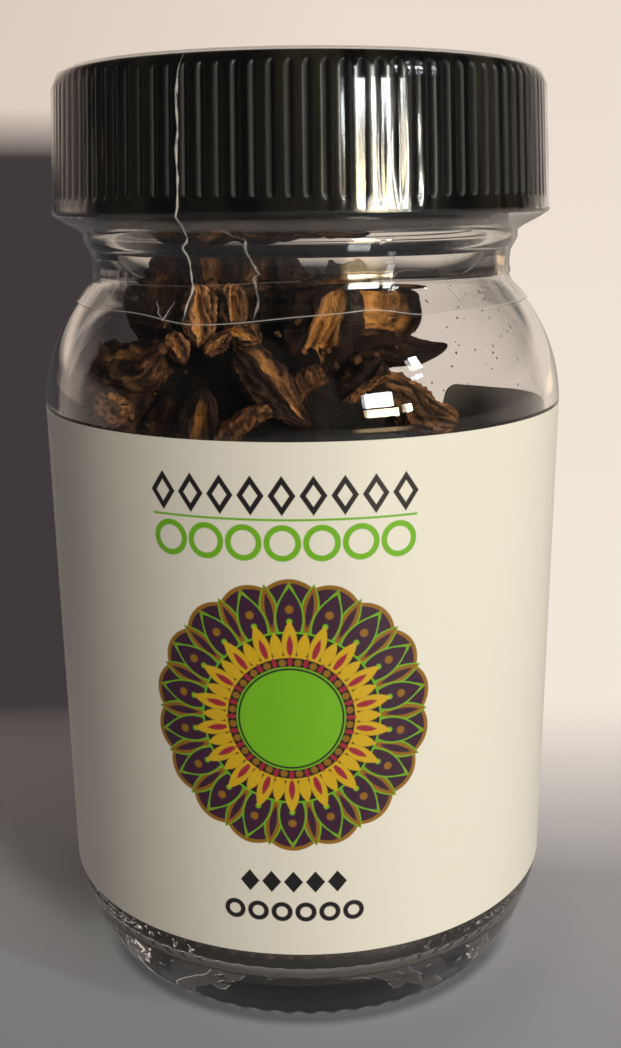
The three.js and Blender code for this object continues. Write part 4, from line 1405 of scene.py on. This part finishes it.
def heel_pieces():
    count = 14
    for i in range(count):
        azimuth = TURN * (i + between(-0.3, 0.3)) / count
        z = between(7.2, 8.6)
        tilt = between(-0.35, 0.35)
        kind = draw()
        if kind < 0.45:
            pod = carpel(60 + i, 9, 3.6, 4.4, 0.2)
            against_glass("pods", pod, azimuth, z, 9, 4, tilt, between(-1, 1))
        elif kind < 0.75:
            against_glass("stalks", stalk(60 + i, 10, 1.8), azimuth, z - 1, 10, 2, tilt, 0)
        else:
            against_glass("seeds", seed(i, 6.2), azimuth, z - 0.6, 6.2, 2.6, tilt, 0.3)


def top_pieces():
    count = 10
    for i in range(count):
        turn = 2.4 * i
        out = 13.5 * math.sqrt((i + 0.5) / count)
        x = out * math.cos(turn) - 1
        y = out * math.sin(turn) + 1
        heading = between(0, TURN)
        along = Vector((math.cos(heading), math.sin(heading), between(-0.35, 0.35)))
        top = Vector((between(-0.5, 0.5), between(-0.5, 0.5), 1))
        middle = Vector((x, y, pile_height(x + (3 if x > 0 else 0)) + 1.2))
        set_down("pods", carpel(80 + i, POD_LONG, POD_WIDE, POD_TALL, 0.3), middle, along, top)


def crumbs():
    """Crumbs on the heap, and specks that stick to the glass where it is bare."""
    for i in range(CRUMBS):
        on_glass = i < CRUMBS_ON_GLASS
        if on_glass:
            azimuth, z = between(0.25, 1.15), between(60.5, 70)
            point = on_cylinder(azimuth, inside_radius(z), z)
        else:
            point = Vector((between(-16, 10), between(-19, -6), 0))
            point.z = pile_height(point.x) - between(0.2, 6)
        size = between(0.08, 0.27) if on_glass else between(0.3, 1.1)
        crumb = Piece(bmesh.new())
        bmesh.ops.create_icosphere(crumb.bm, subdivisions=1, radius=size / 2)
        for vert in crumb.points:
            vert.co *= between(0.6, 1.3)
            vert[crumb.crest] = 0.8
            vert[crumb.tone] = 0.3
        crumb.remember(i)
        set_down("crumbs", crumb, point, Vector((1, draw(), draw())), Vector((0, 0, 1)))


front_pieces()
shoulder_pieces()
strip_pieces()
whole_star()
heel_pieces()
top_pieces()
crumbs()
print("points:", {kind: len(bm.verts) for kind, bm in KINDS.items()})

# %% [markdown]
# ## Finishes of the heap
# Dry pods are red-brown on their wrinkles and smooth golden brown inside, and their furrows
# are painted nearly black as painted shade. The attributes made above steer that, with noise
# on top so that no two pods match. Seeds are hard and shiny. Stalks are lighter and dull.

# %% Pod, seed and stalk materials


def dry_husk(name, furrow, dark_skin, light_skin, inside, gloss):
    finish = Finish(name)
    ridge = finish.attribute("crest")
    inner = finish.attribute("inner")
    tone = finish.attribute("tone")
    patch = finish.noise(330, 4)
    fibre = finish.noise(1.6, 3, (0.22, 1, 1), on="grain")
    speck = finish.noise(5, 3, on="grain")
    rust = finish.noise(260, 2).ramp(0.52, 0.66)
    skin = finish.colour(dark_skin, light_skin, tone * (patch * 0.8 + 0.6))
    skin = finish.colour(skin, finish.colour(dark_skin, (0.26, 0.058, 0.020), tone), rust * 0.7)
    # painted shade: the crests keep the skin colour and the furrows are painted nearly black
    lit = ridge.ramp(0.12, 0.75) * fibre.ramp(0.28, 0.6) * (patch.ramp(0.25, 0.6) * 0.7 + 0.3)
    skin = finish.colour(furrow, skin, lit)
    golden = finish.colour(dark_skin, inside, fibre.ramp(0.3, 0.62) * (tone * 0.6 + 0.5))
    lip = inner * (inner * -1 + 1) * 3.0
    both = finish.colour(skin, golden, inner)
    both = finish.colour(both, light_skin, lip * (tone * 0.6 + 0.1))
    both = finish.colour(both, furrow, speck.ramp(0.58, 0.70) * 0.8)
    finish.drive(Base_Color=both, Roughness=inner * (gloss - 0.7) + 0.7 + speck * 0.12)
    finish.set(Specular_IOR_Level=0.13)
    finish.bump(speck * 0.6 + fibre * 1.2 + ridge * 0.8, 0.00035, 0.8)
    return finish.material


def shiny_seed():
    finish = Finish("shiny_seed")
    tone = finish.attribute("tone")
    grain = finish.noise(700, 3)
    finish.drive(
        Base_Color=finish.colour((0.05, 0.014, 0.005), (0.17, 0.055, 0.014), grain + tone),
        Roughness=grain * 0.12 + 0.12,
    )
    finish.set(Coat_Weight=0.4)
    return finish.material


def heap_piece(name, kind, material):
    bm = KINDS[kind]
    face_outwards(bm)
    return finish_piece(name, bm, material)


POD_HUSK = dry_husk(
    "pod_husk", (0.006, 0.003, 0.002), (0.030, 0.011, 0.005), (0.52, 0.235, 0.088),
    (0.50, 0.215, 0.052), 0.28,
)
STALK_BARK = dry_husk(
    "stalk_bark", (0.018, 0.007, 0.003), (0.10, 0.036, 0.010), (0.50, 0.215, 0.060),
    (0.48, 0.25, 0.09), 0.6,
)
# painted shade: the heap's body is nearly black so that the gaps between the pods read as shade
HEAP_PAINTED_SHADE = dry_husk(
    "heap_painted_shade", (0.002, 0.0012, 0.001), (0.010, 0.006, 0.004), (0.06, 0.026, 0.011),
    (0.28, 0.195, 0.135), 0.7,
)
heap_piece("anise_pods", "pods", POD_HUSK)
heap_piece("anise_stalks", "stalks", STALK_BARK)
heap_piece("husk_shards", "shards", POD_HUSK)
heap_piece("anise_seeds", "seeds", shiny_seed())
heap_piece("anise_crumbs", "crumbs", POD_HUSK)

# %% [markdown]
# ## The body of the heap
# Under the pieces that show there are many more. They are a single lumpy body, turned like
# a jar of its own and pushed in and out by noise, so that only darkness and broken edges
# show between the pods: its nearly black finish is painted shade. At the heel it fills the
# corner of the glass and is lighter.

# %% Heap core


def make_core():
    profile = [(0, FLOOR_Z + FLOOR_RISE), (9, FLOOR_Z + 0.6), (15.5, FLOOR_Z + 0.2)]
    profile += [(inside_radius(z) - 0.5, z) for z in steps(FLOOR_Z + 0.4, 10.5, 12)]
    profile += [(CORE_RADIUS, z) for z in steps(13, 56, 43)]
    profile += [(CORE_RADIUS - 0.4, 58), (CORE_RADIUS - 2, 62), (CORE_RADIUS - 4.2, 68)]
    profile += [(r, HEAP_TOP_Z) for r in (14, 11, 8, 5, 2.5, 0)]
    bm = turned(profile, 152)
    core = Piece(bm)
    for vert in core.points:
        p = vert.co.copy()
        azimuth, radius = polar(p)
        lumps = 0.6 * math.sin(5 * azimuth + 0.31 * p.z)
        lumps += 0.4 * math.sin(9 * azimuth - 0.5 * p.z)
        turn = abs(abs(azimuth) - STAR_AZIMUTH)
        hollow = 4 * (1 - smooth(math.hypot(CORE_RADIUS * turn, p.z - STAR_Z), 10, 17))
        rough = noise.noise(p * 0.32) * 1.4 + noise.noise(p * 0.9) * 0.7
        on_side = smooth(radius, 12, 16) * (0.25 + 0.75 * smooth(p.z, 9, 13))
        radius += on_side * (lumps - hollow + rough - 0.5)
        top = pile_height(p.x) - 1 + 0.8 * math.sin(0.7 * p.x + 1.1 * p.y) + rough
        top -= 4.5 * smooth(-p.y, 9, 17)
        vert[core.crest] = 0.5 + 0.5 * rough
        vert[core.inner] = 1 - smooth(p.z, 9.5, 12.5)
        vert[core.tone] = 1.2 * vert[core.inner]
        vert.co = keep_inside(on_cylinder(azimuth, radius, min(p.z, top)))
    core.remember(0)
    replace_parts(finish_piece("heap_core", bm, HEAP_PAINTED_SHADE), "star_anise")


make_core()

# %% [markdown]
# ## Floor, light and camera
# The jar stands on a pale floor with painted shade: it is darker towards the front and where
# it is seen through glass, with a painted shadow under the jar and a thin one round its foot.
# The floor is a disc that fades out, so it has no horizon line, and the world behind it is a
# plain pale wall, shaded on the left. Two wide panes low at the front right, a warm one under
# a cool one, make the tall highlights on cap and glass. A small high window makes the bright
# patch in the shoulder. A soft fill that mirrors don't see lights the paper. Glass shows what
# is round it, so the world has other tones for rays that were mirrored or went through glass:
# a dark room in front, a table below.

# %% Floor
FLOOR_DISC_RADIUS = 0.45
FLOOR_DROP = 0.00002


def pale_floor():
    finish = Finish("pale_floor")
    x, y, _ = finish.split(finish.place())
    grain = finish.noise(40, 4)
    back = finish.colour((0.60, 0.61, 0.65), (0.67, 0.68, 0.72), grain)
    # painted shade: the floor is darker towards the front
    pale = finish.colour((0.40, 0.42, 0.47), back, y.ramp(-0.035, 0.012))
    radius = x.far(y)
    passed = finish.ray("Transmission")
    # painted shade: darker where the floor is seen through glass, and a painted shadow under
    # the jar
    pale = finish.colour(pale, (0.15, 0.155, 0.17), passed)
    pale = finish.colour(pale, (0.11, 0.10, 0.09), radius.ramp(0.0205, 0.0195))
    # a painted contact shadow: a thin dark ring round the jar's foot, at the front
    near = (radius - 0.0216).size().ramp(0.0016, 0.0005)
    finish.set(Roughness=0.6)
    finish.drive(
        Base_Color=finish.colour(pale, (0.22, 0.23, 0.27), near * y.ramp(0.0, -0.012)),
        Alpha=y.ramp(0.058, 0.004).at_least(y.ramp(0.25, 0.15) * passed),
    )
    return finish.material


floor_bm = bmesh.new()
bmesh.ops.create_circle(floor_bm, cap_ends=True, segments=96, radius=FLOOR_DISC_RADIUS)
floor_mesh = bpy.data.meshes.new("floor")
floor_bm.to_mesh(floor_mesh)
floor_bm.free()
floor_mesh.materials.append(pale_floor())
floor = bpy.data.objects.new("floor", floor_mesh)
floor.location.z = -FLOOR_DROP
bpy.context.scene.collection.objects.link(floor)

# %% World
world = bpy.data.worlds.new("studio")
bpy.context.scene.world = world
world.use_nodes = True


def studio():
    """A warm wall behind the jar, seen directly, and a dim room in front, seen in mirrors."""
    sky = Nodes(world.node_tree)
    backdrop = sky.tree.nodes["Background"]
    x, y, z = sky.split(sky.node("TexCoord").outputs["Generated"])
    glossy = sky.ray("Glossy")
    passed = sky.ray("Transmission")
    mirrored = glossy * (passed * -1 + 1)
    warmth = (x.ramp(-0.3, 0.05) * 0.6 - z * 0.78 + 0.18).apply("ADD", 0, clamp=True)
    wall = sky.colour((0.66, 0.54, 0.455), (0.90, 0.80, 0.71), warmth)
    shade = x.ramp(0.05, -0.07) * z.ramp(0.065, 0.03) * x.ramp(-0.80, -0.62) * y.ramp(-0.1, 0.1)
    wall = sky.colour(wall, (0.05, 0.042, 0.044), shade)
    sides = y.ramp(0.40, 0.33) * x.ramp(0.1, -0.1) + y.ramp(0.85, 0.5) * x.ramp(-0.1, 0.1)
    ahead = y.ramp(0.15, -0.1).at_least(sides * mirrored)
    above = z.ramp(0.25, 0.45).at_least(z.ramp(0.10, 0.20) * passed)
    front = ahead.at_least(above)
    room = sky.colour(wall, (0.03, 0.029, 0.03), front * glossy)
    table = sky.colour((0.07, 0.068, 0.075), (0.40, 0.35, 0.30), x.ramp(-0.25, 0.5))
    sunny = x.ramp(0.34, 0.42) * x.ramp(0.74, 0.62) * z.ramp(-0.10, -0.075)
    table = sky.colour(table, (7.0, 4.9, 2.6), sunny * front)
    room = sky.colour(room, table, z.ramp(-0.015, -0.03) * mirrored)
    below = sky.colour((0.055, 0.055, 0.06), (0.13, 0.13, 0.135), x.ramp(-0.2, 0.5))
    room = sky.colour(room, below, z.ramp(-0.24, -0.34) * glossy * passed)
    sky.link(room, backdrop.inputs["Color"])
    ambient = sky.node("Background")
    side = sky.colour((0.035, 0.032, 0.034), (0.17, 0.148, 0.146), x.ramp(-0.35, 0.6))
    side = sky.colour(side, (0.44, 0.40, 0.385), x.ramp(-0.82, -1.0))
    sky.link(side, ambient.inputs["Color"])
    either = sky.blend(backdrop, ambient, sky.ray("Diffuse"))
    sky.link(either.outputs[0], sky.tree.nodes["World Output"].inputs["Surface"])
    print("world nodes:", len(sky.tree.nodes))


studio()

# %% Lamps
LAMP_TARGET = Vector((0, 0, 0.055))


def lamp(name, azimuth, elevation, distance, width, height, power, colour):
    """An area lamp that looks at the jar's middle. Angles are in degrees."""
    data = bpy.data.lights.new(name, "AREA")
    data.shape = "RECTANGLE"
    data.size = width
    data.size_y = height
    data.energy = power
    data.color = colour
    made = bpy.data.objects.new(name, data)
    level = math.radians(elevation)
    out = on_cylinder(math.radians(azimuth), math.cos(level), math.sin(level))
    made.location = LAMP_TARGET + out * distance
    made.rotation_mode = "QUATERNION"
    made.rotation_quaternion = out.to_track_quat("Z", "Y")
    bpy.context.scene.collection.objects.link(made)
    return made


lamp("low_pane", 33, 8.0, 0.5, 0.120, 0.040, 0.64, (1.0, 0.84, 0.54))
lamp("upper_pane", 32, 15.6, 0.5, 0.105, 0.074, 0.70, (0.94, 0.98, 1.0))
lamp("narrow_pane", 44.5, 9.2, 0.5, 0.022, 0.040, 0.14, (1.0, 0.97, 0.88))
lamp("high_window", 54.5, 33, 0.5, 0.034, 0.060, 0.20, (0.95, 0.97, 1.0))
lamp("sky_pane", 53, 25.5, 0.5, 0.030, 0.018, 0.03, (0.70, 0.84, 1.0))
side_fill = lamp("side_fill", 40, 28, 0.6, 0.3, 0.3, 0.56, (1.0, 0.95, 0.88))
side_fill.visible_glossy = False
side_fill.visible_transmission = False
print("lamps:", len(bpy.data.lights))

# %% [markdown]
# ## The camera
# The camera looks slightly down on the jar from close by, so its verticals converge a
# little. Place, tilt and focal length are fixed numbers.

# %% Camera
FRAME_HIGH_PIXELS = 1048
FOCAL_PIXELS = 1248.02
CAMERA_PLACE = Vector((0, -127.9986, 78.0966)) * MM
PITCH = 0.256989
ROLL = -0.01055
YAW = 0.0051438

camera_data = bpy.data.cameras.new("camera")
camera_data.sensor_width = 36
camera_data.lens = 36 * FOCAL_PIXELS / FRAME_HIGH_PIXELS
camera_data.clip_start = 0.01
camera_data.clip_end = 20
camera = bpy.data.objects.new("camera", camera_data)
forward = Vector((
    math.sin(YAW) * math.cos(PITCH), math.cos(YAW) * math.cos(PITCH), -math.sin(PITCH),
))
level_right = Vector((math.cos(YAW), -math.sin(YAW), 0))
level_up = level_right.cross(forward)
right = level_right * math.cos(ROLL) + level_up * math.sin(ROLL)
up = level_up * math.cos(ROLL) - level_right * math.sin(ROLL)
turn = Matrix((right, up, -forward)).transposed().to_4x4()
camera.matrix_world = Matrix.Translation(CAMERA_PLACE) @ turn
bpy.context.scene.collection.objects.link(camera)
bpy.context.scene.camera = camera
print("lens in mm:", round(camera_data.lens, 2))

# %% Colour and light paths
scene = bpy.context.scene
scene.view_settings.view_transform = "Standard"
scene.cycles.max_bounces = 20
scene.cycles.transmission_bounces = 16
scene.cycles.transparent_max_bounces = 24
print("view transform:", scene.view_settings.view_transform)
